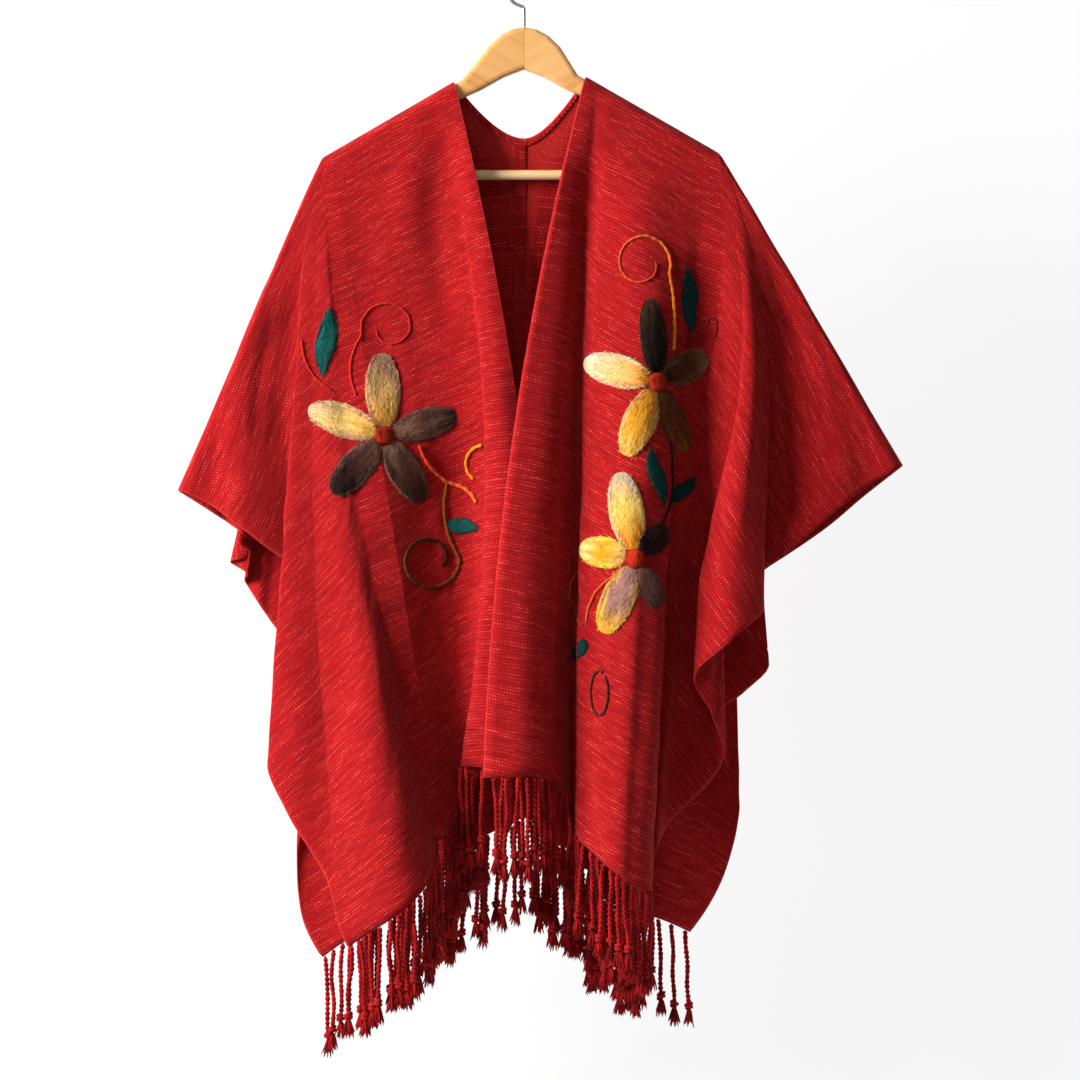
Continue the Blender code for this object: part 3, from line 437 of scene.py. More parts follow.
def flatPlace(fan, edge, share):
    # where a point of the fan lies on the flat cloth: mm from the neck's line and from the shoulder
    along = alongAt(fan, edge)
    topU = np.where(along <= fan["arm"], cloth["armCloth"] * (1 - along / fan["arm"]), 0.0)
    topV = np.maximum(along - fan["arm"], 0.0)
    edgeU = np.where(edge <= fan["length"], cloth["clothWidth"], cloth["clothWidth"] - (edge - fan["length"]))
    edgeV = np.minimum(edge, fan["length"])
    return topU + (edgeU - topU) * share, topV + (edgeV - topV) * share, topU, topV, edgeU, edgeV


def topPlace(fan, along):
    # the start of a fold: on the arm, or past the neck point on the back neckline
    endX, endZ = cloth["armEnd"][fan["side"]]
    neckX, neckZ = cloth["neckPoint"][fan["side"]]
    roll, rollIn = cloth["shoulderRoll"], cloth["neckRollIn"]
    share = np.minimum(along / fan["arm"], 1.0)
    over = np.clip((along - fan["arm"]) / roll, 0.0, math.pi / 2)
    x = endX + (neckX - endX) * share
    z = endZ + (neckZ - endZ) * share
    onRoll = along > fan["arm"]
    x = np.where(onRoll, neckX * (1 - rollIn * (over / (math.pi / 2)) ** 2), x)
    z = np.where(onRoll, neckZ - roll * (1 - np.cos(over)), z)
    quarter = roll * math.pi / 2
    past = np.clip((along - fan["arm"] - quarter) / (cloth["neckEdge"] - quarter), 0.0, 1.0)
    first, second, third = (1 - past) ** 2, 2 * past * (1 - past), past ** 2
    rolledX = neckX * (1 - rollIn)
    curveX = (first * rolledX + second * cloth["neckCurveX"][fan["side"]]
              + third * fan["out"] * cloth["seamHalfGap"])
    curveZ = first * (neckZ - roll) + (second + third) * cloth["neckDrop"]
    onCurve = past > 0
    return np.where(onCurve, curveX, x), np.where(onCurve, curveZ, z), over


def clothPoints(fan, edge, share):
    # points in mm for a grid of places round the edge and shares of the way down to it
    edge, share = np.broadcast_arrays(np.asarray(edge, float), np.asarray(share, float))
    along = alongAt(fan, edge)
    _, _, topU, topV, edgeU, edgeV = flatPlace(fan, edge, share)
    topX, topZ, turned = topPlace(fan, along)
    roll = cloth["shoulderRoll"]
    reach = share * np.hypot(edgeU - topU, edgeV - topV) * foldCurve(fan, "ease", edge)
    fall = share * (edgeV - topV)
    lean, depth = foldCurve(fan, "lean", edge), foldCurve(fan, "depth", edge)
    wingLean = fan["lean"][0]
    clothAngle = np.degrees(np.arctan2(edgeV, edgeU - topU))
    late = smoothStep((edge - cloth["lateFrom"]) / (cloth["lateFull"] - cloth["lateFrom"]))
    late = late if fan["name"] == "front left" else 0.0
    fade = smoothStep(reach / (cloth["foldFade"] + (cloth["lateFade"] - cloth["foldFade"]) * late))
    evenLean = wingLean + (-6.0 - wingLean) * clothAngle / 90
    evenDepth = 2.0 * clothAngle / 90
    onEnd = along <= 0
    lean = np.where(onEnd, evenLean + (lean - evenLean) * fade, lean)
    depth = np.where(onEnd, evenDepth + (depth - evenDepth) * fade, depth)
    square = np.where(onEnd, (wingLean - 90.0) * (1 - clothAngle / 90), 0.0)
    turn = np.minimum(fall / roll + turned, math.pi / 2)
    lift = roll * (turn - turned) - roll * (np.cos(turned) - np.cos(turn))
    lean, depth, square = np.radians(lean), np.radians(depth), np.radians(square)
    sideways = reach * np.sin(lean) * np.cos(depth) - lift * np.sin(square)
    sideways = sideways + foldCurve(fan, "bow", edge) * 4 * share * (1 - share)
    down = reach * np.cos(lean) * np.cos(depth) - lift * np.cos(square)
    away = roll * np.sin(turn) + reach * np.sin(depth)
    return np.stack([topX + fan["out"] * sideways, fan["facing"] * away, topZ - down], -1)


def columnPlaces(side):
    # for the two fans of a side: the places of the wing's columns, the arm's and the neckline's
    both = [fans[f"{facing} {side}"] for facing in ("front", "back")]
    arms = []
    for fan in both:
        first = int(np.flatnonzero(fan["along"] <= 0)[-1])
        edges = np.arange(fan["edge"][first], fan["last"], cloth["columnStep"] * 1.15)
        arms += [along for along in alongAt(fan, edges) if 0.6 < along < fan["arm"] - 0.6]
    arms = sorted(arms)
    kept = [arms[0]]
    for along in arms[1:]:
        if along - kept[-1] > 0.9:
            kept.append(along)
    places = {}
    for fan in both:
        first = int(np.flatnonzero(fan["along"] <= 0)[-1])
        wing = np.linspace(0, fan["edge"][first], int(fan["edge"][first] / cloth["columnStep"]))
        arm = edgeAt(fan, np.array([*kept, fan["arm"]]))
        columns = [*wing, *arm]
        if fan["facing"] > 0:
            beyond = np.linspace(0, cloth["neckEdge"], cloth["neckColumns"])[1:]
            columns += list(edgeAt(fan, fan["arm"] + beyond))
        places[fan["name"]] = np.array(columns)
    return places


def downShares():
    # close rows round the hanger's top, then even ones to the hem
    roll = np.linspace(0, 0.03, cloth["rollRows"])
    return np.concatenate([roll, np.linspace(0.03, 1.0, cloth["hangingRows"])[1:]])


def reliefHeights(fan, edge, points):
    # how far the broad ridges stand out at these points; each wanders a little and is uneven
    facing = fan["name"].split()[0]
    onWing = smoothStep((cloth["wingEnds"] - edge) / cloth["wingFade"]) if facing == "front" else 0.0
    x, z = points[..., 0], points[..., 2]
    height = np.zeros(x.shape)
    for number, (side, halfWidth, high, line) in enumerate(reliefRows):
        if side not in (facing, "wing"):
            continue
        lineX, lineZ = np.array(line, float).T
        middle = np.interp(-z, -lineZ, lineX) + 3.5 * np.sin(z / 47 + number * 2.1)
        ends = smoothStep((lineZ[0] - z) / 80) * smoothStep((z - lineZ[-1]) / 80)
        wide = halfWidth * (1 + 0.16 * np.sin(z / 83 + number * 1.3))
        uneven = 0.86 + 0.14 * np.sin(z / 61 + number * 1.9)
        share = onWing if side == "wing" else 1.0
        height += high * share * ends * uneven * np.exp(-((x - middle) / wide) ** 2)
    return height


def slackHeights(fan, edge, share):
    # where the folds hold less cloth than was cut, it lies in a further soft fold between two of them
    shares = share[0]
    folds = clothPoints(fan, fan["edge"][:, None], shares[None, :])
    flats = np.stack(flatPlace(fan, fan["edge"][:, None] + 0 * shares,
                               shares[None, :] + 0 * fan["edge"][:, None])[:2], -1)
    width = np.linalg.norm(np.diff(folds, axis=0), axis=-1)
    flat = np.linalg.norm(np.diff(flats, axis=0), axis=-1)
    spare = np.clip((0.85 - width / np.maximum(flat, 0.01)) / 0.4, 0.0, 1.0)
    high = cloth["slack"][fan["name"]] * width * spare
    knots = fan["edge"]
    place = np.clip(np.searchsorted(knots, edge[:, 0], "right") - 1, 0, len(knots) - 2)
    run = (edge[:, 0] - knots[place]) / (knots[place + 1] - knots[place])
    begin = cloth["slackFrom"][fan["name"].split()[0]]
    return high[place] * np.sin(2 * math.pi * run)[:, None] * smoothStep((share - begin) / 0.3)


def creaseHeights(fan, edge, share):
    # the height of the soft creases over the fan, and a slow unevenness between them
    height = np.zeros(edge.shape)
    for row in creaseRows:
        crease = dict(zip(creaseColumns, row))
        if crease["fan"] != fan["name"]:
            continue
        run = (share - crease["downStart"]) / (crease["downEnd"] - crease["downStart"])
        middle = crease["edgeStart"] + (crease["edgeEnd"] - crease["edgeStart"]) * run
        middle = middle + 6 * np.sin(run * 5 + crease["edgeStart"])
        off = (edge - middle) * share / crease["halfWidth"]
        ends = smoothStep(run / 0.3) * smoothStep((1 - run) / 0.35)
        height += crease["height"] * ends * np.exp(-off ** 2)
    wave = [noise.noise(Vector((e * s / 34, s * 5.2, fan["out"] * 3 + fan["facing"] * 7)))
            for e, s in zip(edge.ravel(), share.ravel())]
    height += 1.5 * np.array(wave).reshape(edge.shape) * smoothStep(share / 0.2)
    fade = smoothStep(share / cloth["topFade"]) * smoothStep(edge / cloth["creaseEdgeFade"])
    return (height + slackHeights(fan, edge, share)) * fade


def evenMap(points, flats):
    # a map of the hung cloth in which lengths are those of the mesh, so that the weave keeps its size:
    # it starts as the flat place, and every edge is eased towards its length again and again
    place = flats.copy()
    pairs = [((slice(None, -1), slice(None)), (slice(1, None), slice(None)), 1.0),
             ((slice(None), slice(None, -1)), (slice(None), slice(1, None)), 1.0),
             ((slice(None, -1), slice(None, -1)), (slice(1, None), slice(1, None)), 0.5),
             ((slice(None, -1), slice(1, None)), (slice(1, None), slice(None, -1)), 0.5)]
    longs = [np.linalg.norm(points[there] - points[here], axis=-1) for here, there, _ in pairs]
    for _ in range(cloth["easings"]):
        move, weight = np.zeros_like(place), np.zeros(place.shape[:2])
        for (here, there, strength), long in zip(pairs, longs):
            gap = place[there] - place[here]
            far = np.maximum(np.linalg.norm(gap, axis=-1), 1e-6)
            pull = gap * ((far - long) / far * 0.5 * strength)[..., None]
            move[here] += pull
            move[there] -= pull
            weight[here] += strength
            weight[there] += strength
        place += move / weight[..., None] * cloth["easingPull"]
    return place


hems = {}
grids = {}


def addPanel(side, material):
    # a grid for each fan, moved on to the folds, and the two welded along the shoulder
    places = columnPlaces(side)
    shares = downShares()
    mesh = bmesh.new()
    uv = mesh.loops.layers.uv.new("cloth")
    weaveMap = mesh.loops.layers.uv.new("weave")
    for facing in ("front", "back"):
        fan = fans[f"{facing} {side}"]
        columns = places[fan["name"]]
        corners = gridCorners(mesh, len(columns), len(shares))
        edge, share = np.meshgrid(columns, shares, indexing="ij")
        points = clothPoints(fan, edge, share)
        fade = smoothStep(share / cloth["topFade"]) * smoothStep(edge / cloth["reliefEdgeFade"])
        stand = reliefHeights(fan, edge, points) * fade
        points[..., 1] += fan["facing"] * stand
        acrossWay = np.gradient(points, axis=0)
        downWay = np.gradient(points, axis=1)
        normal = np.cross(acrossWay, downWay)
        normal /= np.maximum(np.linalg.norm(normal, axis=-1, keepdims=True), 1e-9)
        if fan["out"] * fan["facing"] > 0:
            normal = -normal
        points = points + normal * creaseHeights(fan, edge, share)[..., None]
        hems[fan["name"]] = (columns, points[:, -1])
        outwards = normal if fan["out"] * fan["facing"] > 0 else -normal
        outwards = outwards * np.sign((outwards[..., 1] * fan["facing"]).sum())
        grids[fan["name"]] = (columns, shares, points, outwards)
        flats = np.stack(flatPlace(fan, edge, share)[:2], -1)
        evens = evenMap(points, flats)
        spots = {}
        for corner, point, flat, even in zip(corners, points.reshape(-1, 3), flats.reshape(-1, 2),
                                             evens.reshape(-1, 2)):
            corner.co = Vector(point) * mm
            spots[corner] = (flat[0] * mm, -fan["facing"] * flat[1] * mm), (
                even[0] * mm, -fan["facing"] * even[1] * mm)
        faces = {face for corner in corners for face in corner.link_faces}
        for face in faces:
            for loop in face.loops:
                loop[uv].uv, loop[weaveMap].uv = spots[loop.vert]
        if fan["out"] * fan["facing"] < 0:
            bmesh.ops.reverse_faces(mesh, faces=list(faces))
    bmesh.ops.remove_doubles(mesh, verts=mesh.verts, dist=0.05 * mm)
    panel = finishPiece(f"cloth_{side}", mesh, material, [f"panel_{side}"])
    wall = panel.modifiers.new("wall", "SOLIDIFY")
    wall.thickness = cloth["wall"] * mm
    wall.offset = 0.0
    return panel


# Handwoven wool, weft faced: thick slubby weft in plain weave over a fine warp. Its fuzz gives a
# soft sheen, and undyed fibre in the slubs shows as broken pale flecks along the weft.
weave = {
    "weftPitch": 1.65,
    "warpPitch": 1.5,
    "fleckPitch": 3.4,
    "dashPitch": 3.3,
    "runLength": 42.0,
    "runPitch": 4.2,
    "slubLength": 6.0,
    "slubPitch": 3.4,
    "deep": "#8C050E",
    "red": "#BE0C14",
    "bright": "#DC1A1C",
    "fleck": "#EE6C62",
    "gap": "#5E0208",
    # the edge colour is a painted highlight for the selvedges and front edges
    "edge": "#D83A34",
    "bumpHeight": 0.9,
}


def clothMaterial():
    material, tree, shader = newMaterial("handwoven wool")
    place = addNode(tree, "ShaderNodeUVMap", {"uv_map": "weave"})
    flat = addNode(tree, "ShaderNodeUVMap", {"uv_map": "cloth"})
    flatSplit = addNode(tree, "ShaderNodeSeparateXYZ", Vector=flat.outputs["UV"])
    split = addNode(tree, "ShaderNodeSeparateXYZ", Vector=place.outputs["UV"])
    # the weft wanders a little, so its lines are not ruled
    wander = addNode(tree, "ShaderNodeTexNoise", Vector=place.outputs["UV"], Scale=14.0, Detail=2.0)
    shift = addNode(tree, "ShaderNodeMath", {"operation": "MULTIPLY_ADD"}, i0=wander.outputs["Fac"], i1=0.006,
                    i2=split.outputs["Y"])
    # weft and warp ribs, as sines of the flat place
    weft = addNode(tree, "ShaderNodeMath", {"operation": "MULTIPLY"}, i0=shift.outputs[0],
                   i1=2 * math.pi / (weave["weftPitch"] * mm))
    weftWave = addNode(tree, "ShaderNodeMath", {"operation": "SINE"}, i0=weft.outputs[0])
    warp = addNode(tree, "ShaderNodeMath", {"operation": "MULTIPLY"}, i0=split.outputs["X"],
                   i1=2 * math.pi / (weave["warpPitch"] * mm))
    warpWave = addNode(tree, "ShaderNodeMath", {"operation": "SINE"}, i0=warp.outputs[0])
    over = addNode(tree, "ShaderNodeMath", {"operation": "MULTIPLY"}, i0=weftWave.outputs[0],
                   i1=warpWave.outputs[0])
    # some wefts hold pale fibre over a long run, and the warp breaks it into short flecks
    slubPlace = addNode(tree, "ShaderNodeCombineXYZ", X=split.outputs["X"], Y=shift.outputs[0])
    runScale = addNode(tree, "ShaderNodeMapping", Vector=slubPlace.outputs[0],
                       Scale=(1 / (weave["runLength"] * mm), 1 / (weave["runPitch"] * mm), 1.0))
    runs = addNode(tree, "ShaderNodeTexNoise", Vector=runScale.outputs[0], Scale=1.0, Detail=3.0,
                   Roughness=0.6)
    slubScale = addNode(tree, "ShaderNodeMapping", Vector=slubPlace.outputs[0],
                        Scale=(1 / (weave["slubLength"] * mm), 1 / (weave["slubPitch"] * mm), 1.0))
    slub = addNode(tree, "ShaderNodeTexNoise", Vector=slubScale.outputs[0], Scale=1.0, Detail=2.5,
                   Roughness=0.62)
    row = addNode(tree, "ShaderNodeMath", {"operation": "DIVIDE"}, i0=shift.outputs[0],
                  i1=weave["fleckPitch"] * mm)
    rowNumber = addNode(tree, "ShaderNodeMath", {"operation": "FLOOR"}, i0=row.outputs[0])
    rowPhase = addNode(tree, "ShaderNodeTexWhiteNoise", {"noise_dimensions": "1D"}, W=rowNumber.outputs[0])
    phase = addNode(tree, "ShaderNodeMath", {"operation": "MULTIPLY"}, i0=rowPhase.outputs["Value"],
                    i1=2 * math.pi)
    dashPlace = addNode(tree, "ShaderNodeMath", {"operation": "MULTIPLY_ADD"}, i0=split.outputs["X"],
                        i1=2 * math.pi / (weave["dashPitch"] * mm), i2=phase.outputs[0])
    dashes = addNode(tree, "ShaderNodeMath", {"operation": "SINE"}, i0=dashPlace.outputs[0])
    rowTurn = addNode(tree, "ShaderNodeMath", {"operation": "MULTIPLY"}, i0=row.outputs[0], i1=2 * math.pi)
    rowHigh = addNode(tree, "ShaderNodeMath", {"operation": "COSINE"}, i0=rowTurn.outputs[0])
    rowMiddle = addNode(tree, "ShaderNodeMath", {"operation": "MULTIPLY"}, i0=rowHigh.outputs[0], i1=-1.0)
    knots = addNode(tree, "ShaderNodeMath", {"operation": "MULTIPLY"},
                    i0=greyRamp(tree, dashes.outputs[0], -0.5, 0.5),
                    i1=greyRamp(tree, rowMiddle.outputs[0], -0.4, 0.5))
    chosen = addNode(tree, "ShaderNodeMath", {"operation": "MULTIPLY"},
                     i0=greyRamp(tree, runs.outputs["Fac"], 0.42, 0.68),
                     i1=greyRamp(tree, slub.outputs["Fac"], 0.40, 0.64))
    fleckShare = addNode(tree, "ShaderNodeMath", {"operation": "MULTIPLY"}, i0=knots.outputs[0],
                         i1=chosen.outputs[0])
    body = rampOf(tree, runs.outputs["Fac"],
                  ((0.25, weave["deep"]), (0.5, weave["red"]), (0.75, weave["bright"])))
    ribbed = mixColours(tree, 0.42, body, mixColours(tree, knots.outputs[0], weave["gap"], weave["bright"]))
    flecked = mixColours(tree, fleckShare.outputs[0], ribbed, weave["fleck"])
    # painted highlight: the selvedges and front edges are coloured lighter, as if they catch more light
    outer = greyRamp(tree, flatSplit.outputs["X"], (cloth["clothWidth"] - 2.6) * mm,
                     (cloth["clothWidth"] - 1.4) * mm)
    inner = greyRamp(tree, flatSplit.outputs["X"], 2.6 * mm, 1.4 * mm)
    edges = addNode(tree, "ShaderNodeMath", {"operation": "MAXIMUM"}, i0=outer, i1=inner)
    edgeHighlightShare = addNode(tree, "ShaderNodeMath", {"operation": "MULTIPLY"}, i0=edges.outputs[0], i1=0.35)
    flecked = mixColours(tree, edgeHighlightShare.outputs[0], flecked, weave["edge"])
    # fine fibres break every edge of colour
    fibre = addNode(tree, "ShaderNodeTexNoise", Vector=place.outputs["UV"], Scale=620.0, Detail=2.0)
    fibreTint = mixColours(tree, fibre.outputs["Fac"], "#7C060C", "#F2564C")
    final = mixColours(tree, 0.22, flecked, fibreTint, "SOFT_LIGHT")
    tree.links.new(final, shader.inputs["Base Color"])
    shader.inputs["Roughness"].default_value = 0.88
    shader.inputs["Specular IOR Level"].default_value = 0.19
    shader.inputs["Sheen Weight"].default_value = 0.08
    shader.inputs["Sheen Roughness"].default_value = 0.45
    shader.inputs["Sheen Tint"].default_value = toLinear("#F0A59C")
    # relief: slubs, ribs and fibres
    rough = addNode(tree, "ShaderNodeMath", {"operation": "MULTIPLY_ADD"}, i0=slub.outputs["Fac"], i1=1.6,
                    i2=over.outputs[0])
    height = addNode(tree, "ShaderNodeMath", {"operation": "MULTIPLY_ADD"}, i0=weftWave.outputs[0], i1=0.5,
                     i2=rough.outputs[0])
    bump = addNode(tree, "ShaderNodeBump", Strength=0.55, Distance=weave["bumpHeight"] * mm,
                   Height=height.outputs[0])
    tree.links.new(bump.outputs["Normal"], shader.inputs["Normal"])
    return material


# The fringe: two-ply cords pulled through the hem, each with an overhand knot and an open tuft.
fringe = {
    "spacing": 14.5,
    "plyRadius": 1.7,
    "plyOffset": 1.45,
    "twistPitch": 11.0,
    "toKnot": 84.0,
    "toKnotSpread": 9.0,
    "knotRadius": 3.3,
    "knotStrand": 2.2,
    "tuftLength": 23.0,
    "tuftStrands": 18,
    "tuftSpread": 6.6,
    "clearance": 7.6,
    "sides": 5,
    "seed": 7,
}


def cordRoots(name):
    # where the cords leave the hem, on the panel's own last row
    fan = fans[name]
    places, points = hems[name]
    edges = np.arange(fan["length"] + 6, fan["last"] - 4, fringe["spacing"])
    return [np.array([np.interp(edge, places, points[:, axis]) for axis in range(3)]) for edge in edges]


def cordFoots(roots, rng):
    # the knots hang under the roots, pushed apart where the hem is bunched
    foots = []
    for root in roots:
        drop = fringe["toKnot"] + rng.uniform(-1, 1) * fringe["toKnotSpread"]
        foots.append(root + (rng.uniform(-6, 6), rng.uniform(-3, 3), -drop))
    foots = np.array(foots)
    for _ in range(60):
        gaps = foots[:, None, :2] - foots[None, :, :2]
        far = np.linalg.norm(gaps, axis=2) + np.eye(len(foots)) * 99
        short = np.clip(fringe["clearance"] - far, 0, None)
        if not short.any():
            break
        foots[:, :2] += 0.25 * (gaps / far[..., None] * short[..., None]).sum(1)
    return foots


def cordPath(root, foot, rng):
    # a slightly crooked line from the hem to the knot
    run = np.linspace(0, 1, 34)
    line = root + (foot - root) * run[:, None]
    fade = np.sin(math.pi * run)
    for axis in (0, 1):
        for waves in (1, 2, 3):
            size = rng.uniform(-1, 1) * 2.6 / waves
            line[:, axis] += size * fade * np.sin(waves * math.pi * run + rng.uniform(0, 6.3))
    return line


def addFringe(name, material):
    rng = random.Random(fringe["seed"] + sum(map(ord, name)))
    roots = cordRoots(name)
    foots = cordFoots(roots, rng)
    plies, knots, tufts = [], [], []
    for root, foot in zip(roots, foots):
        path = cordPath(root, foot, rng)
        length = np.linalg.norm(np.diff(path, axis=0), axis=1).sum()
        run = np.linspace(0, 1, len(path))
        start = rng.uniform(0, 6.3)
        for ply in (0.0, math.pi):
            turn = start + ply + run * length / fringe["twistPitch"] * 2 * math.pi
            offset = fringe["plyOffset"] * np.stack([np.cos(turn), np.sin(turn), 0 * turn], 1)
            radii = fringe["plyRadius"] * (1 + 0.12 * np.sin(run * 31 + start))
            radii[0] = radii[-1] = 0.0
            plies.append(tubeRings(path + offset, radii, fringe["sides"]))
        # the knot: a strand that goes once and a half round the cord, and its lower bight
        turn = np.linspace(0, 3.6 * math.pi, 17)
        lean = rng.uniform(-0.5, 0.5)
        coil = np.stack([
            foot[0] + fringe["knotRadius"] * np.cos(turn + start),
            foot[1] + fringe["knotRadius"] * np.sin(turn + start),
            foot[2] + 3.0 - turn * 0.62 + lean * 2.4 * np.cos(turn + start),
        ], 1)
        radii = np.full(len(turn), fringe["knotStrand"])
        radii[0] = radii[-1] = 0.0
        knots.append(tubeRings(coil, radii, fringe["sides"]))
        # the tuft: yarn ends that open below the knot
        for strand in range(fringe["tuftStrands"]):
            way = strand * 2.4 + rng.uniform(-0.4, 0.4)
            spread = fringe["tuftSpread"] * math.sqrt((strand + 0.5) / fringe["tuftStrands"])
            long = fringe["tuftLength"] * rng.uniform(0.72, 1.08)
            down = np.array([0.0, 0.25, 0.6, 0.85, 1.0])
            bend = rng.uniform(0.8, 1.5)
            out = 0.7 + spread * down ** bend
            line = np.stack([foot[0] + out * math.cos(way) + rng.uniform(-1, 1) * down ** 2,
                             foot[1] + out * math.sin(way) + rng.uniform(-1, 1) * down ** 2,
                             foot[2] - 2.0 - long * down], 1)
            tufts.append(tubeRings(line, np.array([0.0, 1.35, 1.2, 0.9, 0.0]), 3))
    mesh = bmesh.new()
    addTubes(mesh, plies + knots)
    addTubes(mesh, tufts)
    bmesh.ops.recalc_face_normals(mesh, faces=mesh.faces)
    return finishPiece(f"cords_{name.replace(' ', '_')}", mesh, material,
                       [f"fringe_{name.replace(' ', '_')}"])


def cordMaterial():
    # plied wool yarn: matt, hairy, each ply a little uneven in dye
    material, tree, shader = newMaterial("plied wool yarn")
    place = addNode(tree, "ShaderNodeTexCoord")
    uneven = addNode(tree, "ShaderNodeTexNoise", Vector=place.outputs["Object"], Scale=55.0, Detail=3.0)
    fibre = addNode(tree, "ShaderNodeTexNoise", Vector=place.outputs["Object"], Scale=900.0, Detail=2.0)
    dye = rampOf(tree, uneven.outputs["Fac"], ((0.3, "#6E0408"), (0.5, "#920A10"), (0.72, "#B21A1A")))
    fibreTint = mixColours(tree, fibre.outputs["Fac"], "#7C060C", "#F2766C")
    final = mixColours(tree, 0.3, dye, fibreTint, "SOFT_LIGHT")
    tree.links.new(final, shader.inputs["Base Color"])
    shader.inputs["Roughness"].default_value = 0.85
    shader.inputs["Specular IOR Level"].default_value = 0.15
    shader.inputs["Sheen Weight"].default_value = 0.08
    shader.inputs["Sheen Roughness"].default_value = 0.5
    shader.inputs["Sheen Tint"].default_value = toLinear("#F0A59C")
    bump = addNode(tree, "ShaderNodeBump", Strength=0.5, Distance=0.4 * mm, Height=fibre.outputs["Fac"])
    tree.links.new(bump.outputs["Normal"], shader.inputs["Normal"])
    return material


# Needle-felted wool, punched into the cloth: petals and leaves are low cushions with a hairy face and
# edge, and the tendrils are thin twists of roving. Angles turn clockwise from straight up.
felt = {
    "petalThick": 3.4,
    "leafThick": 1.8,
    "sink": 0.7,
    "longestStep": 13.0,
    "fibres": 330,
    "fibreRadius": 0.24,
    "seed": 11,
}

# centre x and z, the panel, the middle's colour, then for each petal: turn, where it starts and ends
# from the centre, width, and its wool at the root, middle, tip and edge
flowers = {
    "flower_left": ((-153.0, -507.0), "left", "#A82C0E", (
        (-2, 9, 91, 40, "#D8A850", "#D2AE74", "#A58268", "#B08A78"),
        (74, 10, 82, 36, "#9A705C", "#7A5040", "#341A14", "#7A5548"),
        (150, 10, 84, 38, "#A27C6C", "#6C4234", "#583226", "#98705F"),
        (221, 10, 85, 38, "#6A4438", "#40201A", "#22100C", "#86604F"),
        (290, 9, 89, 38, "#D8AC50", "#DFBE78", "#E2C4A0", "#C49A84"),
    )),
    "flower_right_upper": ((146.0, -449.0), "right", "#C43A10", (
        (-5, 10, 92, 32, "#160806", "#2A120A", "#583822", "#563624"),
        (62, 10, 64, 36, "#462010", "#6A3C20", "#7A502E", "#A07450"),
        (157, 10, 82, 30, "#7C4420", "#7E4A1E", "#A86E1C", "#70442A"),
        (204, 10, 88, 38, "#D89A30", "#DCA630", "#E2B85C", "#E6C48A"),
        (286, 9, 84, 38, "#E4A430", "#ECC684", "#EFD8BC", "#E8C8AC"),
    )),
    "flower_right_lower": ((121.0, -642.0), "right", "#CC3A10", (
        (-10, 10, 96, 40, "#EAA228", "#E8C868", "#C4B09C", "#D6C0A8"),
        (46, 10, 50, 30, "#2A0C0A", "#361410", "#40201A", "#5A3028"),
        (152, 10, 60, 28, "#8E6258", "#946A5E", "#6C443A", "#704438"),
        (203, 10, 88, 38, "#B0857A", "#AA8074", "#E4B438", "#EEC240"),
        (281, 10, 62, 36, "#F0C478", "#F0AC18", "#F4DC98", "#F2CE60"),
    )),
}

# base x and z, tip x and z, width, bend, and colour
leaves = {
    "leaf_left_upper": (-214.0, -366.0, -221.0, -443.0, 24, 1.6, "#1A6A64"),
    "leaf_left_lower": (-87.0, -602.0, -50.0, -610.0, 19, -1.0, "#166058"),
    "leaf_right_upper": (179.0, -322.0, 186.0, -396.0, 19, 1.8, "#0F5450"),
    "leaf_right_middle": (139.0, -521.0, 153.0, -585.0, 18, -2.2, "#0F5450"),
    "leaf_right_side": (160.0, -582.0, 189.0, -552.0, 17, 1.4, "#0E4648"),
    "leaf_right_valley": (66.0, -729.0, 55.0, -754.0, 15, 0.8, "#0C423F"),
}

# each tendril: its first and last radius and colour, then its runs. A stem is its two ends and its bow;
# a curl is its centre, first and last radius, first and last angle from +X, and stretch in z.
tendrils = (
    ("curl_left_upper", 1.5, 1.2, "#CE3024", "#C42A24",
     (("stem", -184, -463, -179, -398, -9), ("curl", -149, -388, 30, 13, 190, -170, 0.95))),
    ("stem_left_upper", 1.3, 1.1, "#D4382C", "#C02820", (("stem", -244, -402, -209, -458, 10),)),
    ("stem_left_lower", 1.9, 2.1, "#DC5038", "#F08C2C",
     (("stem", -115, -517, -80, -560, 6), ("stem", -80, -560, -52, -583, -6))),
    ("arc_left", 2.1, 1.8, "#F0A420", "#EC9818", (("curl", -43, -538, 21, 21, 96, 236, 1.0),)),
    ("curl_left_lower", 1.8, 2.1, "#A8661C", "#3C1A10",
     (("stem", -84, -556, -72, -640, 9), ("curl", -103, -643, 32, 15, 6, -398, 1.0))),
    ("curl_right_upper", 2.2, 1.1, "#F4A428", "#CC3C30",
     (("stem", 164, -414, 160, -330, 3), ("curl", 130, -318, 31, 14, -18, 372, 1.03))),
    ("stem_right_upper", 1.3, 1.1, "#B02420", "#8A1C1C",
     (("stem", 164, -411, 202, -385, -3), ("curl", 205, -386, 6, 9, 110, -70, 1.6))),
    ("stem_right", 1.4, 1.4, "#22100C", "#2E1814",
     (("stem", 149, -466, 162, -545, -4), ("stem", 162, -545, 126, -632, -13))),
    ("stem_right_lower", 1.7, 1.5, "#DC5A30", "#E07038", (("stem", 101, -659, 68, -712, 9),)),
    ("stem_valley", 1.3, 1.2, "#C8641E", "#A8501E",
     (("stem", 60, -655, 56, -700, 8), ("stem", 56, -700, 66, -716, 2))),
    ("ring_right", 1.4, 1.4, "#6C3428", "#5E2C22", (("curl", 82, -788, 9.5, 9.5, 60, 415, 2.6),)),
)


def mixLinear(first, second, share):
    return [a + (b - a) * share for a, b in zip(first, second)]


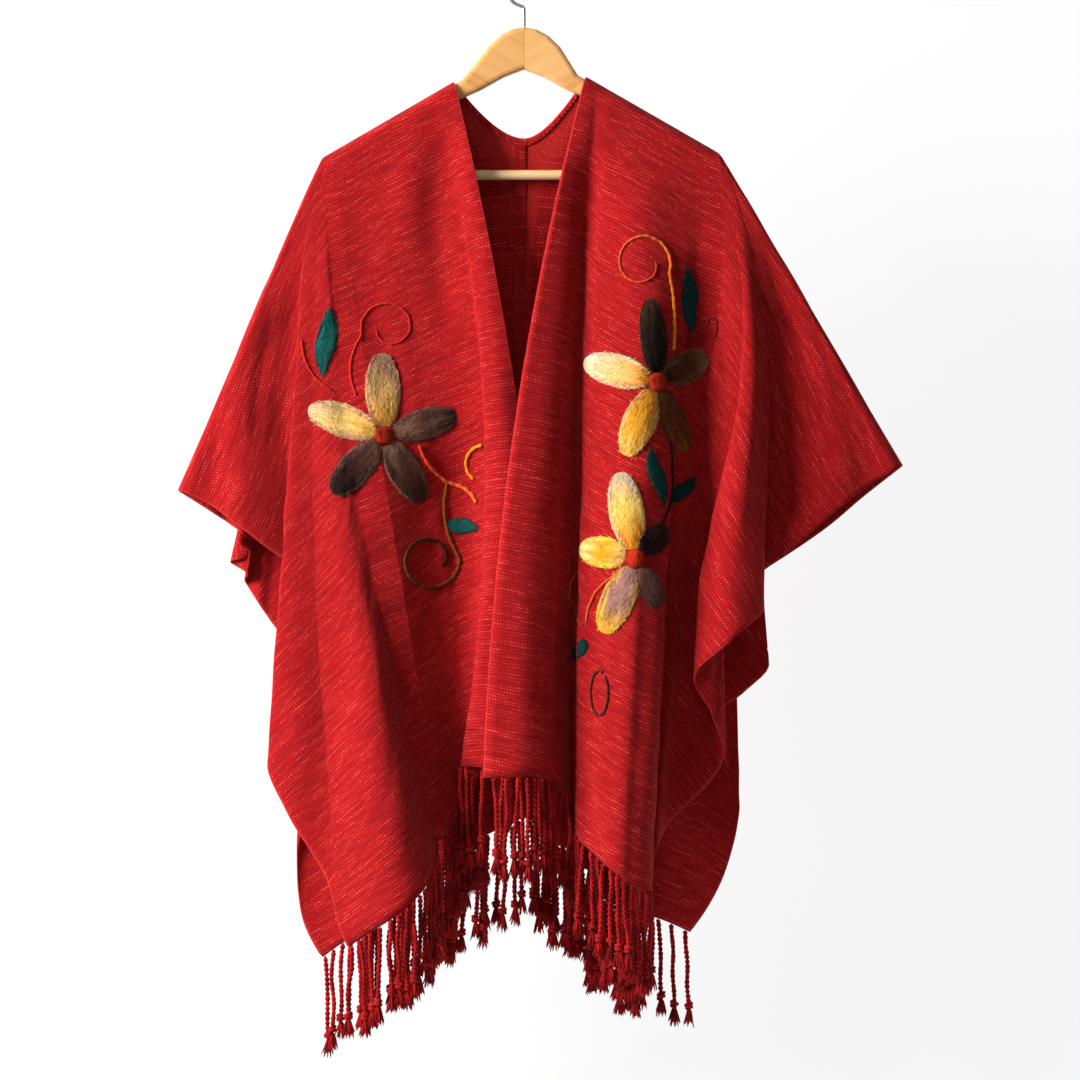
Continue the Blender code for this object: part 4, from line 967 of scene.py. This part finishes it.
def patchColour(wools, across, along, rng):
    # the wool at a place of a petal: laid in streaks from the root to the tip, and round the edge
    root, middle, tip, edge = (toLinear(code) for code in wools)
    streak = noise.noise(Vector((across * 5.5, along * 1.6, rng))) * 0.3
    place = min(max(along + streak, 0.0), 1.0)
    if place < 0.5:
        colour = mixLinear(root, middle, smoothStep(place / 0.5))
    else:
        colour = mixLinear(middle, tip, smoothStep((place - 0.5) / 0.5))
    rim = abs(across) + noise.noise(Vector((across * 7, along * 2.4, rng + 5))) * 0.45
    colour = mixLinear(colour, edge, 0.75 * smoothStep((rim - 0.62) / 0.35))
    bright = 1.0 + 0.30 * noise.noise(Vector((across * 9, along * 2.2, rng + 9)))
    return [part * bright for part in colour[:3]] + [1.0]


class Patch:
    # a felted shape on the cloth: its own across and along axes, and how high it stands

    def __init__(self, base, tip, width, thick, wools, seed, pointed=False, bend=0.0):
        self.base, self.tip = np.array(base, float), np.array(tip, float)
        self.long = np.linalg.norm(self.tip - self.base)
        self.alongWay = (self.tip - self.base) / self.long
        self.acrossWay = np.array([-self.alongWay[1], self.alongWay[0]])
        self.width, self.thick, self.wools, self.seed = width, thick, wools, seed
        self.pointed, self.bend = pointed, bend

    def place(self, across, along):
        # x and z of a point, with across from -1 to 1 and along from 0 to 1
        run = min(max(along, 0.0), 1.0)
        if self.pointed:
            half = math.sin(math.pi * run) ** 0.85 * (1.12 - 0.3 * run)
        else:
            half = max(math.sin(math.pi * run ** 0.86), 0.0) ** 0.44 * (0.9 + 0.16 * run)
        half *= self.width / 2
        half *= 1 + 0.05 * noise.noise(Vector((across, run * 3, self.seed)))
        sway = self.bend * math.sin(2 * math.pi * run) + 0.6 * noise.noise(Vector((run * 4, 2.0, self.seed)))
        return (self.base + self.alongWay * self.long * along + self.acrossWay * (half * across + sway))

    def height(self, across, along):
        run = min(max(along, 0.0), 1.0)
        dome = math.sqrt(max(1 - across * across, 0.0)) * min(1.0, math.sin(math.pi * run) * 1.9) ** 0.7
        lump = 1 + 0.22 * noise.noise(Vector((across * 2.2, run * 3.1, self.seed + 3)))
        return self.thick * dome * lump


def clothDepth(x, z):
    # where the cloth's front is at this place, in mm, or None past its edge
    best = None
    for tree in clothTrees.values():
        hit = tree.ray_cast(Vector((x * mm, -0.4, z * mm)), Vector((0.0, 1.0, 0.0)))[0]
        if hit is not None and (best is None or hit.y < best):
            best = hit.y
    return None if best is None else best / mm


def addPatch(mesh, patch, layer, uv, columns=17, rows=27):
    # the cushion of a petal or leaf: a grid over its outline, with a rim that goes into the cloth
    corners = gridCorners(mesh, columns, rows)
    shares = {}
    lost = set()
    for number, corner in enumerate(corners):
        column, row = divmod(number, rows)
        across = math.sin((column / (columns - 1) - 0.5) * math.pi)
        along = 0.5 - 0.5 * math.cos(math.pi * row / (rows - 1))
        x, z = patch.place(across, along)
        depth = clothDepth(x, z)
        if depth is None:
            lost.add(corner)
            depth = 0.0
        edge = column in (0, columns - 1) or row in (0, rows - 1)
        stand = -felt["sink"] if edge else 0.25 + patch.height(across, along)
        corner.co = Vector((x, depth - stand, z)) * mm
        corner[layer] = patchColour(patch.wools, across, along, patch.seed)
        shares[corner] = (across * patch.width / 2 * mm, along * patch.long * mm)
    faces = {face for corner in corners for face in corner.link_faces}
    torn = []
    for face in faces:
        depths = [vert.co.y / mm for vert in face.verts]
        if max(depths) - min(depths) > felt["longestStep"] or lost.intersection(face.verts):
            torn.append(face)
        for loop in face.loops:
            loop[uv].uv = shares[loop.vert]
    bmesh.ops.delete(mesh, geom=torn, context="FACES")
    turned = [face for face in faces if face.is_valid]
    for face in turned:
        face.normal_update()
    if sum(face.normal.y for face in turned) > 0:
        bmesh.ops.reverse_faces(mesh, faces=turned)


def fibreTubes(patch, count, rng):
    # loose fibres over a patch and across its edge, each with its colour
    tubes, colours = [], []
    for _ in range(count):
        if rng.random() < 0.45:
            across, along = rng.choice((-1, 1)) * rng.uniform(0.8, 1.0), rng.uniform(0.03, 0.97)
        else:
            across, along = rng.uniform(-0.92, 0.92), rng.uniform(0.03, 0.95)
        x, z = patch.place(across, along)
        turn = rng.gauss(0, 0.45)
        way = patch.alongWay * math.cos(turn) + patch.acrossWay * math.sin(turn)
        long = rng.uniform(4.0, 10.0)
        curve = rng.gauss(0, 0.05)
        stand = 0.25 + patch.height(across, along) + rng.uniform(0.0, 0.5)
        line = []
        for share in (-0.5, -0.25, 0.0, 0.25, 0.5):
            run = share * long
            spotX = x + way[0] * run - way[1] * curve * run * run
            spotZ = z + way[1] * run + way[0] * curve * run * run
            depth = clothDepth(spotX, spotZ)
            if depth is None:
                break
            inside = np.array([spotX, spotZ]) - patch.base
            nearAlong = float(inside @ patch.alongWay) / patch.long
            nearAcross = float(inside @ patch.acrossWay) / (patch.width / 2)
            level = min(patch.height(min(max(nearAcross, -1), 1), nearAlong) + 0.35, stand + 0.4)
            line.append((spotX, depth - max(level, 0.35), spotZ))
        if len(line) < 5 or max(point[1] for point in line) - min(point[1] for point in line) > 6:
            continue
        radius = felt["fibreRadius"] * rng.uniform(0.7, 1.2)
        tubes.append(tubeRings(line, [0.0, radius, radius, radius, 0.0], 3, rng.uniform(0, 6.3)))
        colour = patchColour(patch.wools, across, along, patch.seed)
        bright = rng.uniform(0.6, 1.9)
        colours += [[min(part * bright, 1.0) for part in colour[:3]] + [1.0]] * 5
    return tubes, colours


def addFelt(name, patches, material, replaced=()):
    rng = random.Random(felt["seed"] + sum(map(ord, name)))
    mesh = bmesh.new()
    layer = mesh.verts.layers.float_color.new("dye")
    uv = mesh.loops.layers.uv.new("felt")
    for patch in patches:
        addPatch(mesh, patch, layer, uv)
    tubes, colours = [], []
    for patch in patches:
        made = fibreTubes(patch, int(felt["fibres"] * patch.long * patch.width / 3000), rng)
        tubes += made[0]
        colours += made[1]
    addTubes(mesh, tubes, (layer, colours))
    return finishPiece(name, mesh, material, replaced)


def flowerPatches(name):
    (x, z), _, middle, petals = flowers[name]
    patches = []
    for number, (turn, start, end, width, *wools) in enumerate(petals):
        way = np.array([math.sin(math.radians(turn)), math.cos(math.radians(turn))])
        base, tip = np.array([x, z]) + way * start, np.array([x, z]) + way * end
        patches.append(Patch(base, tip, width, felt["petalThick"], wools, number * 3.7 + x))
    core = Patch((x, z - 10.5), (x, z + 10.5), 21, felt["petalThick"] + 1.4,
                 (middle, middle, middle, "#A02C14"), x)
    return patches + [core]


def curvePoints(runs):
    # the points of a tendril's runs, in mm, x and z
    points = []
    for kind, *numbers in runs:
        if kind == "stem":
            x0, z0, x1, z1, bow = numbers
            share = np.linspace(0, 1, 24)[:, None]
            start, end = np.array([x0, z0], float), np.array([x1, z1], float)
            square = np.array([end[1] - start[1], start[0] - end[0]]) / math.dist(start, end)
            points.append(start + (end - start) * share + square * bow * 4 * share * (1 - share))
        else:
            x, z, first, last, begin, finish, stretch = numbers
            share = np.linspace(0, 1, int(abs(finish - begin) / 6) + 2)
            radius = first + (last - first) * share ** 1.6
            angle = np.radians(begin + (finish - begin) * share)
            points.append(np.stack([x + radius * np.cos(angle), z + radius * stretch * np.sin(angle)], 1))
    joined = np.concatenate(points)
    # even steps, with a slight waver
    gone = np.concatenate([[0], np.cumsum(np.linalg.norm(np.diff(joined, axis=0), axis=1))])
    evenly = np.arange(0, gone[-1], 1.6)
    joined = np.stack([np.interp(evenly, gone, joined[:, axis]) for axis in (0, 1)], 1)
    for _ in range(3):
        joined[1:-1] = (joined[:-2] + 2 * joined[1:-1] + joined[2:]) / 4
    waver = [[noise.noise(Vector((place / 9, 3.0 * axis, joined[0, 0]))) * 0.7 for axis in (0, 1)]
             for place in evenly]
    return joined + np.array(waver)


def addTendrils(side, material):
    mesh = bmesh.new()
    layer = mesh.verts.layers.float_color.new("dye")
    mesh.loops.layers.uv.new("felt")
    tubes, colours = [], []
    for _, first, last, startDye, endDye, runs in tendrils:
        points = curvePoints(runs)
        if (points[:, 0].mean() < 0) != (side == "left"):
            continue
        depths = [clothDepth(x, z) for x, z in points]
        pieces, piece = [], []
        for number, depth in enumerate(depths):
            if depth is None or (piece and abs(depth - depths[piece[-1]]) > 5):
                pieces.append(piece)
                piece = []
            if depth is not None:
                piece.append(number)
        pieces.append(piece)
        for piece in (piece for piece in pieces if len(piece) > 4):
            share = np.array(piece) / len(points)
            radii = first + (last - first) * share
            radii = radii * (1 + 0.16 * np.sin(np.array(piece) * 1.1))
            line = [(points[number][0], depths[number] - 0.35 * radius, points[number][1])
                    for number, radius in zip(piece, radii)]
            radii[0] = radii[-1] = 0.0
            tubes.append(tubeRings(line, radii, 7))
            colours += [mixLinear(toLinear(startDye), toLinear(endDye), part) for part in share]
    addTubes(mesh, tubes, (layer, colours))
    return finishPiece(f"tendrils_{side}", mesh, material)


def feltMaterial():
    # needle-felted roving: very matt, with combed streaks of fibre and a soft halo of sheen
    material, tree, shader = newMaterial("needle-felted wool")
    dye = addNode(tree, "ShaderNodeAttribute", {"attribute_name": "dye"})
    place = addNode(tree, "ShaderNodeUVMap", {"uv_map": "felt"})
    stretched = addNode(tree, "ShaderNodeMapping", Vector=place.outputs["UV"], Scale=(1500.0, 170.0, 1.0))
    streak = addNode(tree, "ShaderNodeTexNoise", Vector=stretched.outputs[0], Scale=1.0, Detail=3.0,
                     Roughness=0.6)
    spot = addNode(tree, "ShaderNodeTexCoord")
    hair = addNode(tree, "ShaderNodeTexNoise", Vector=spot.outputs["Object"], Scale=1400.0, Detail=2.0)
    combed = mixColours(tree, 0.85, dye.outputs["Color"],
                        rampOf(tree, streak.outputs["Fac"],
                                ((0.3, "#5A5A5A"), (0.5, "#8C8C8C"), (0.7, "#D8D8D8"))),
                        "SOFT_LIGHT")
    final = mixColours(tree, 0.4, combed,
                       rampOf(tree, hair.outputs["Fac"], ((0.3, "#505050"), (0.7, "#B8B8B8"))), "SOFT_LIGHT")
    tree.links.new(final, shader.inputs["Base Color"])
    shader.inputs["Roughness"].default_value = 0.95
    shader.inputs["Specular IOR Level"].default_value = 0.15
    shader.inputs["Sheen Weight"].default_value = 0.05
    shader.inputs["Sheen Roughness"].default_value = 0.5
    both = addNode(tree, "ShaderNodeMath", {"operation": "ADD"}, i0=streak.outputs["Fac"],
                   i1=hair.outputs["Fac"])
    bump = addNode(tree, "ShaderNodeBump", Strength=0.6, Distance=0.9 * mm, Height=both.outputs[0])
    tree.links.new(bump.outputs["Normal"], shader.inputs["Normal"])
    return material


# Sewing: the centre-back seam with its allowance felled flat inside, and the narrow neck hem.
sewing = {
    "allowance": 14.0,
    "pastSeam": 2.6,
    "lift": 1.55,
    "neckHem": 9.0,
    "stitchLong": 3.4,
    "stitchGap": 1.5,
    "threadRadius": 0.42,
}


def surfaceAt(name, edge, share, lift):
    # points on the panel as built, in mm, moved out of its outer face by lift
    columns, shares, points, normals = grids[name]
    edge, share = np.broadcast_arrays(np.asarray(edge, float), np.asarray(share, float))
    column = np.clip(np.searchsorted(columns, edge, "right") - 1, 0, len(columns) - 2)
    row = np.clip(np.searchsorted(shares, share, "right") - 1, 0, len(shares) - 2)
    across = ((edge - columns[column]) / (columns[column + 1] - columns[column]))[..., None]
    down = ((share - shares[row]) / (shares[row + 1] - shares[row]))[..., None]
    found = 0
    for table, factor in ((points, 1.0), (normals, lift)):
        upper = table[column, row] * (1 - across) + table[column + 1, row] * across
        lower = table[column, row + 1] * (1 - across) + table[column + 1, row + 1] * across
        found = found + factor * (upper * (1 - down) + lower * down)
    return found


def addStrip(mesh, points, uv, flats):
    # a thin doubled strip of cloth from a grid of points in mm
    columns, rows = points.shape[:2]
    corners = gridCorners(mesh, columns, rows)
    spots = {}
    for corner, point, flat in zip(corners, points.reshape(-1, 3), flats.reshape(-1, 2)):
        corner.co = Vector(point) * mm
        spots[corner] = flat * mm
    for face in {face for corner in corners for face in corner.link_faces}:
        for loop in face.loops:
            for layer in uv:
                loop[layer].uv = spots[loop.vert]


def stitchTubes(line, first=0.0):
    # running stitches along a dense line of points in mm
    gone = np.concatenate([[0], np.cumsum(np.linalg.norm(np.diff(line, axis=0), axis=1))])
    step = sewing["stitchLong"] + sewing["stitchGap"]
    radius = sewing["threadRadius"]
    tubes = []
    for start in np.arange(first, gone[-1] - step, step):
        places = start + np.linspace(0, 1, 5) * sewing["stitchLong"]
        points = np.stack([np.interp(places, gone, line[:, axis]) for axis in range(3)], 1)
        tubes.append(tubeRings(points, [0.0, radius, radius, radius, 0.0], 5))
    return tubes


def addAllowance(material):
    # the seam's allowance, folded to the left inside and felled, from the neck to the hem
    name = "back left"
    last = fans[name]["last"]
    mesh = bmesh.new()
    uv = [mesh.loops.layers.uv.new(name) for name in ("cloth", "weave")]
    offsets = np.array([0.3, 2.0, 5.0, 8.0, 11.0, sewing["allowance"] - 0.6, sewing["allowance"]])
    lifts = np.array([1.7, 1.9, 1.75, 1.7, 1.75, 1.8, 1.0])
    shares = np.linspace(0.004, 0.998, 150)
    lifted = [surfaceAt(name, last - offset, shares, -lift) for offset, lift in zip(offsets, lifts)]
    past = surfaceAt("back right", fans["back right"]["last"] - sewing["pastSeam"], shares, -sewing["lift"])
    points = np.stack([past, *lifted])
    flats = np.stack(np.broadcast_arrays(np.concatenate([[-sewing["pastSeam"]], offsets])[:, None] + 30,
                                         shares[None, :] * 800), -1)
    addStrip(mesh, points, uv, flats)
    piece = finishPiece("seam_allowance", mesh, material)
    wall = piece.modifiers.new("wall", "SOLIDIFY")
    wall.thickness = 0.9 * mm
    wall.offset = 0.0
    return piece


def addNeckHem(side, material):
    # the back neckline turned in once and sewn
    name = f"back {side}"
    fan = fans[name]
    first = float(edgeAt(fan, np.array([fan["arm"]]))[0])
    edges = np.linspace(first, fan["last"] - 0.5, 60)
    down = np.array([0.0, 1.5, 4.5, sewing["neckHem"] - 0.6, sewing["neckHem"]]) / 800
    lifts = (0.6, 1.6, 1.7, 1.7, 0.9)
    mesh = bmesh.new()
    uv = [mesh.loops.layers.uv.new(layer) for layer in ("cloth", "weave")]
    points = np.stack([surfaceAt(name, edges, share, -lift) for share, lift in zip(down, lifts)])
    flats = np.stack(np.broadcast_arrays(down[:, None] * 800, edges[None, :]), -1)
    addStrip(mesh, points, uv, flats)
    piece = finishPiece(f"neck_hem_{side}", mesh, material)
    wall = piece.modifiers.new("wall", "SOLIDIFY")
    wall.thickness = 0.9 * mm
    wall.offset = 0.0
    return piece


def addStitches(material):
    # running stitches: down the felled allowance, inside and out, and along the neck hem
    last = fans["back left"]["last"]
    shares = np.linspace(0.012, 0.995, 900)
    tubes = stitchTubes(surfaceAt("back left", last - sewing["allowance"] + 2.2, shares, -2.35))
    tubes += stitchTubes(surfaceAt("back left", last - sewing["allowance"] + 2.2, shares, 0.85), 2.4)
    for side in ("left", "right"):
        fan = fans[f"back {side}"]
        tubes += stitchTubes(surfaceAt(fan["name"], fan["last"] - 1.6, shares, 0.85), 1.2)
        first = float(edgeAt(fan, np.array([fan["arm"]]))[0])
        edges = np.linspace(first + 0.5, fan["last"] - 1, 400)
        tubes += stitchTubes(surfaceAt(fan["name"], edges, (sewing["neckHem"] - 1.6) / 800, -2.3))
        tubes += stitchTubes(surfaceAt(fan["name"], edges, (sewing["neckHem"] - 1.6) / 800, 0.85), 2.4)
    mesh = bmesh.new()
    addTubes(mesh, tubes)
    return finishPiece("seam_stitches", mesh, material)


def threadMaterial():
    # sewing thread: smooth twisted polyester that catches a small light on each stitch
    material, tree, shader = newMaterial("red sewing thread")
    place = addNode(tree, "ShaderNodeTexCoord")
    twist = addNode(tree, "ShaderNodeTexWave", Vector=place.outputs["Object"], Scale=900.0, Distortion=1.5)
    tree.links.new(rampOf(tree, twist.outputs["Fac"], ((0.2, "#A81218"), (0.8, "#DE3A34"))),
                   shader.inputs["Base Color"])
    shader.inputs["Roughness"].default_value = 0.5
    bump = addNode(tree, "ShaderNodeBump", Strength=0.3, Distance=0.15 * mm, Height=twist.outputs["Fac"])
    tree.links.new(bump.outputs["Normal"], shader.inputs["Normal"])
    return material


# The hanger: lacquered beech halves glued at the middle, a beech dowel and a zinc-plated wire hook.
def woodMaterial(name, lean, light, middle, dark):
    # beech under clear lacquer: long soft grain with the short dark flecks of its rays, and a low gloss
    material, tree, shader = newMaterial(name)
    place = addNode(tree, "ShaderNodeTexCoord")
    turned = addNode(tree, "ShaderNodeVectorRotate", {"rotation_type": "Y_AXIS"},
                     Vector=place.outputs["Object"], Angle=math.radians(lean))
    grainPlace = addNode(tree, "ShaderNodeMapping", Vector=turned.outputs[0], Scale=(6.0, 90.0, 75.0))
    grain = addNode(tree, "ShaderNodeTexNoise", Vector=grainPlace.outputs[0], Scale=1.0, Detail=5.0,
                    Roughness=0.55, Distortion=0.6)
    rayPlace = addNode(tree, "ShaderNodeMapping", Vector=turned.outputs[0], Scale=(230.0, 1300.0, 1500.0))
    rays = addNode(tree, "ShaderNodeTexNoise", Vector=rayPlace.outputs[0], Scale=1.0, Detail=2.0)
    cloud = addNode(tree, "ShaderNodeTexNoise", Vector=place.outputs["Object"], Scale=16.0, Detail=3.0)
    body = rampOf(tree, grain.outputs["Fac"], ((0.30, dark), (0.42, middle), (0.66, light)))
    clouded = mixColours(tree, 0.35, body,
                         rampOf(tree, cloud.outputs["Fac"], ((0.35, "#6E6E6E"), (0.65, "#9C9C9C"))),
                          "SOFT_LIGHT")
    flecked = mixColours(tree, greyRamp(tree, rays.outputs["Fac"], 0.64, 0.80), clouded, dark)
    tree.links.new(flecked, shader.inputs["Base Color"])
    shader.inputs["Roughness"].default_value = 0.42
    shader.inputs["Coat Weight"].default_value = 0.12
    shader.inputs["Coat Roughness"].default_value = 0.25
    both = addNode(tree, "ShaderNodeMath", {"operation": "ADD"}, i0=grain.outputs["Fac"],
                   i1=rays.outputs["Fac"])
    bump = addNode(tree, "ShaderNodeBump", Strength=0.12, Distance=0.25 * mm, Height=both.outputs[0])
    tree.links.new(bump.outputs["Normal"], shader.inputs["Normal"])
    return material


def wireMaterial():
    # zinc-plated steel wire: a cool mottled metal with fine drawing lines
    material, tree, shader = newMaterial("zinc-plated wire")
    place = addNode(tree, "ShaderNodeTexCoord")
    stretched = addNode(tree, "ShaderNodeMapping", Vector=place.outputs["Object"],
                        Scale=(2600.0, 2600.0, 60.0))
    drawn = addNode(tree, "ShaderNodeTexNoise", Vector=stretched.outputs[0], Scale=1.0, Detail=2.0)
    mottle = addNode(tree, "ShaderNodeTexNoise", Vector=place.outputs["Object"], Scale=160.0, Detail=3.0)
    tree.links.new(rampOf(tree, mottle.outputs["Fac"], ((0.35, "#9C9C9A"), (0.65, "#C4C4C0"))),
                   shader.inputs["Base Color"])
    shader.inputs["Metallic"].default_value = 1.0
    rough = addNode(tree, "ShaderNodeMapRange", Value=drawn.outputs["Fac"])
    rough.inputs["To Min"].default_value = 0.28
    rough.inputs["To Max"].default_value = 0.48
    tree.links.new(rough.outputs["Result"], shader.inputs["Roughness"])
    bump = addNode(tree, "ShaderNodeBump", Strength=0.15, Distance=0.08 * mm, Height=drawn.outputs["Fac"])
    tree.links.new(bump.outputs["Normal"], shader.inputs["Normal"])
    return material


def addGlueLine(material):
    # the glue between the halves: a thin upright plate that fills the joint
    glue = {"thick": 0.26, "deep": 11.4, "top": -57.2, "low": -102.2}
    mesh = bmesh.new()
    bmesh.ops.create_cube(mesh, size=1.0)
    for vert in mesh.verts:
        vert.co = Vector((vert.co.x * glue["thick"], vert.co.y * glue["deep"],
                          (glue["top"] + glue["low"]) / 2 + vert.co.z * (glue["top"] - glue["low"]))) * mm
    return finishPiece("glue_line", mesh, material, smooth=False)


def glueMaterial():
    # aged wood glue: a dark amber line between the two beech halves
    material, tree, shader = newMaterial("wood glue")
    shader.inputs["Base Color"].default_value = toLinear("#8A5A2A")
    shader.inputs["Roughness"].default_value = 0.6
    return material


def setMaterial(name, material):
    # a CAD node keeps its shape and takes a better material
    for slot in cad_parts[name].material_slots:
        slot.material = material


woolCloth = clothMaterial()
panels = {side: addPanel(side, woolCloth) for side in ("left", "right")}
report("cloth panels")
yarn = cordMaterial()
cords = {name: addFringe(name, yarn) for name in fans}
report("fringe")
allowance = addAllowance(woolCloth)
neckHems = {side: addNeckHem(side, woolCloth) for side in panels}
stitches = addStitches(threadMaterial())
report("seams")
graph = bpy.context.evaluated_depsgraph_get()
clothTrees = {side: BVHTree.FromObject(panel, graph) for side, panel in panels.items()}
roving = feltMaterial()
feltPieces = {"left": [], "right": []}
for name, (centre, side, middle, petals) in flowers.items():
    feltPieces[side].append(addFelt(name.replace("flower", "felt_flower"), flowerPatches(name), roving,
                                    [name]))
for name, (baseX, baseZ, tipX, tipZ, width, bend, dye) in leaves.items():
    leaf = Patch((baseX, baseZ), (tipX, tipZ), width, felt["leafThick"], (dye, dye, dye, "#0A3436"),
                 baseX, True, bend)
    feltPieces["left" if baseX < 0 else "right"].append(
        addFelt(name.replace("leaf", "felt_leaf"), [leaf], roving,
                [name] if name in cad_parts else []))
for side in feltPieces:
    feltPieces[side].append(addTendrils(side, roving))
report("felt")
report("sheets")
setMaterial("hanger_half_left", woodMaterial("beech, left half", -30, "#E2AC68", "#DCA25C", "#CC8E48"))
setMaterial("hanger_half_right", woodMaterial("beech, right half", 30, "#EDBB78", "#E6B06C", "#D89C58"))
setMaterial("hanger_bar", woodMaterial("beech dowel", 0, "#F0CFA0", "#E6BC84", "#CC9A5C"))
setMaterial("hanger_hook", wireMaterial())
addGlueLine(glueMaterial())
report("hanger")


# The room: a pale seamless backdrop, soft light from the upper left and a level camera.
room = {
    "backdropBehind": 0.30,
    "floorBelow": -1.62,
    "floorShare": 0.08,
    "cameraX": 0.0176,
    "cameraZ": -0.6215,
    "pictureWidth": 1.188,
    "lens": 150.0,
    "sensor": 36.0,
    "paleRoom": 0.85,
    "roomLight": 0.05,
}


def addRoom():
    mesh = bmesh.new()
    bmesh.ops.create_grid(mesh, x_segments=1, y_segments=40, size=4.0)
    for vert in mesh.verts:
        run = vert.co.y
        bend = min(max((run + 1.0) / 1.0, 0.0), 1.0) * math.pi / 2
        if run < -1.0:
            y, z = (run + 1.0) * room["floorShare"], 0.0
        elif run < 0.0:
            y, z = 0.64 * math.sin(bend), 0.64 * (1 - math.cos(bend))
        else:
            y, z = 0.64, 0.64 + run
        vert.co = (vert.co.x, room["backdropBehind"] - 0.64 + y, room["floorBelow"] + z)
    data = bpy.data.meshes.new("backdrop")
    mesh.to_mesh(data)
    mesh.free()
    data.shade_smooth()
    material, tree, shader = newMaterial("white studio paper")
    shader.inputs["Base Color"].default_value = toLinear("#606060")
    shader.inputs["Roughness"].default_value = 0.9
    shader.inputs["Emission Color"].default_value = toLinear("#FFFFFF")
    shader.inputs["Emission Strength"].default_value = 0.86
    # only the paper's front shows, so a view from behind still finds the poncho
    side = addNode(tree, "ShaderNodeNewGeometry")
    clear = addNode(tree, "ShaderNodeBsdfTransparent")
    shown = addNode(tree, "ShaderNodeMixShader", Fac=side.outputs["Backfacing"], i1=shader.outputs["BSDF"],
                    i2=clear.outputs["BSDF"])
    tree.links.new(shown.outputs["Shader"], tree.nodes["Material Output"].inputs["Surface"])
    data.materials.append(material)
    backdrop = bpy.data.objects.new("backdrop", data)
    bpy.context.scene.collection.objects.link(backdrop)


def addLight(name, place, target, size, watts):
    lamp = bpy.data.lights.new(name, "AREA")
    lamp.shape = "RECTANGLE"
    lamp.size, lamp.size_y = size
    lamp.energy = watts
    light = bpy.data.objects.new(name, lamp)
    light.location = place
    light.rotation_euler = (Vector(target) - Vector(place)).to_track_quat("-Z", "Y").to_euler()
    light.visible_camera = False
    bpy.context.scene.collection.objects.link(light)


def addCamera():
    camera = bpy.data.cameras.new("camera")
    camera.lens = room["lens"]
    camera.sensor_width = room["sensor"]
    holder = bpy.data.objects.new("camera", camera)
    distance = room["pictureWidth"] * room["lens"] / room["sensor"]
    holder.location = (room["cameraX"], -distance - 0.012, room["cameraZ"])
    holder.rotation_euler = (math.pi / 2, 0.0, 0.0)
    bpy.context.scene.collection.objects.link(holder)
    bpy.context.scene.camera = holder


# name, place and target in metres, size and watts
lamps = (
    ("key", (-3.0, -1.45, 0.5), (0.0, 0.0, -0.6), (1.5, 1.5), 285),
    ("fill", (0.3, -3.4, -0.2), (0.0, 0.0, -0.6), (2.0, 2.0), 8),
    ("top", (-0.3, -1.6, 1.4), (0.0, 0.0, -0.4), (1.2, 1.2), 8),
    ("wash", (0.0, -1.0, -1.3), (0.0, 0.3, -0.9), (3.0, 0.6), 1),
)
addRoom()
for lamp in lamps:
    addLight(*lamp)
addCamera()
world = bpy.data.worlds.new("room light") if bpy.context.scene.world is None else bpy.context.scene.world
bpy.context.scene.world = world
world.use_nodes = True
world.node_tree.nodes["Background"].inputs["Color"].default_value = toLinear("#FFFFFF")
# the room looks pale past the paper's ends, and gives little light of its own
rays = addNode(world.node_tree, "ShaderNodeLightPath")
glow = addNode(world.node_tree, "ShaderNodeMath", {"operation": "MULTIPLY_ADD"},
               i0=rays.outputs["Is Camera Ray"], i1=room["paleRoom"], i2=room["roomLight"])
world.node_tree.links.new(glow.outputs[0], world.node_tree.nodes["Background"].inputs["Strength"])
bpy.context.scene.view_settings.view_transform = "Standard"
report("room, lights and camera")
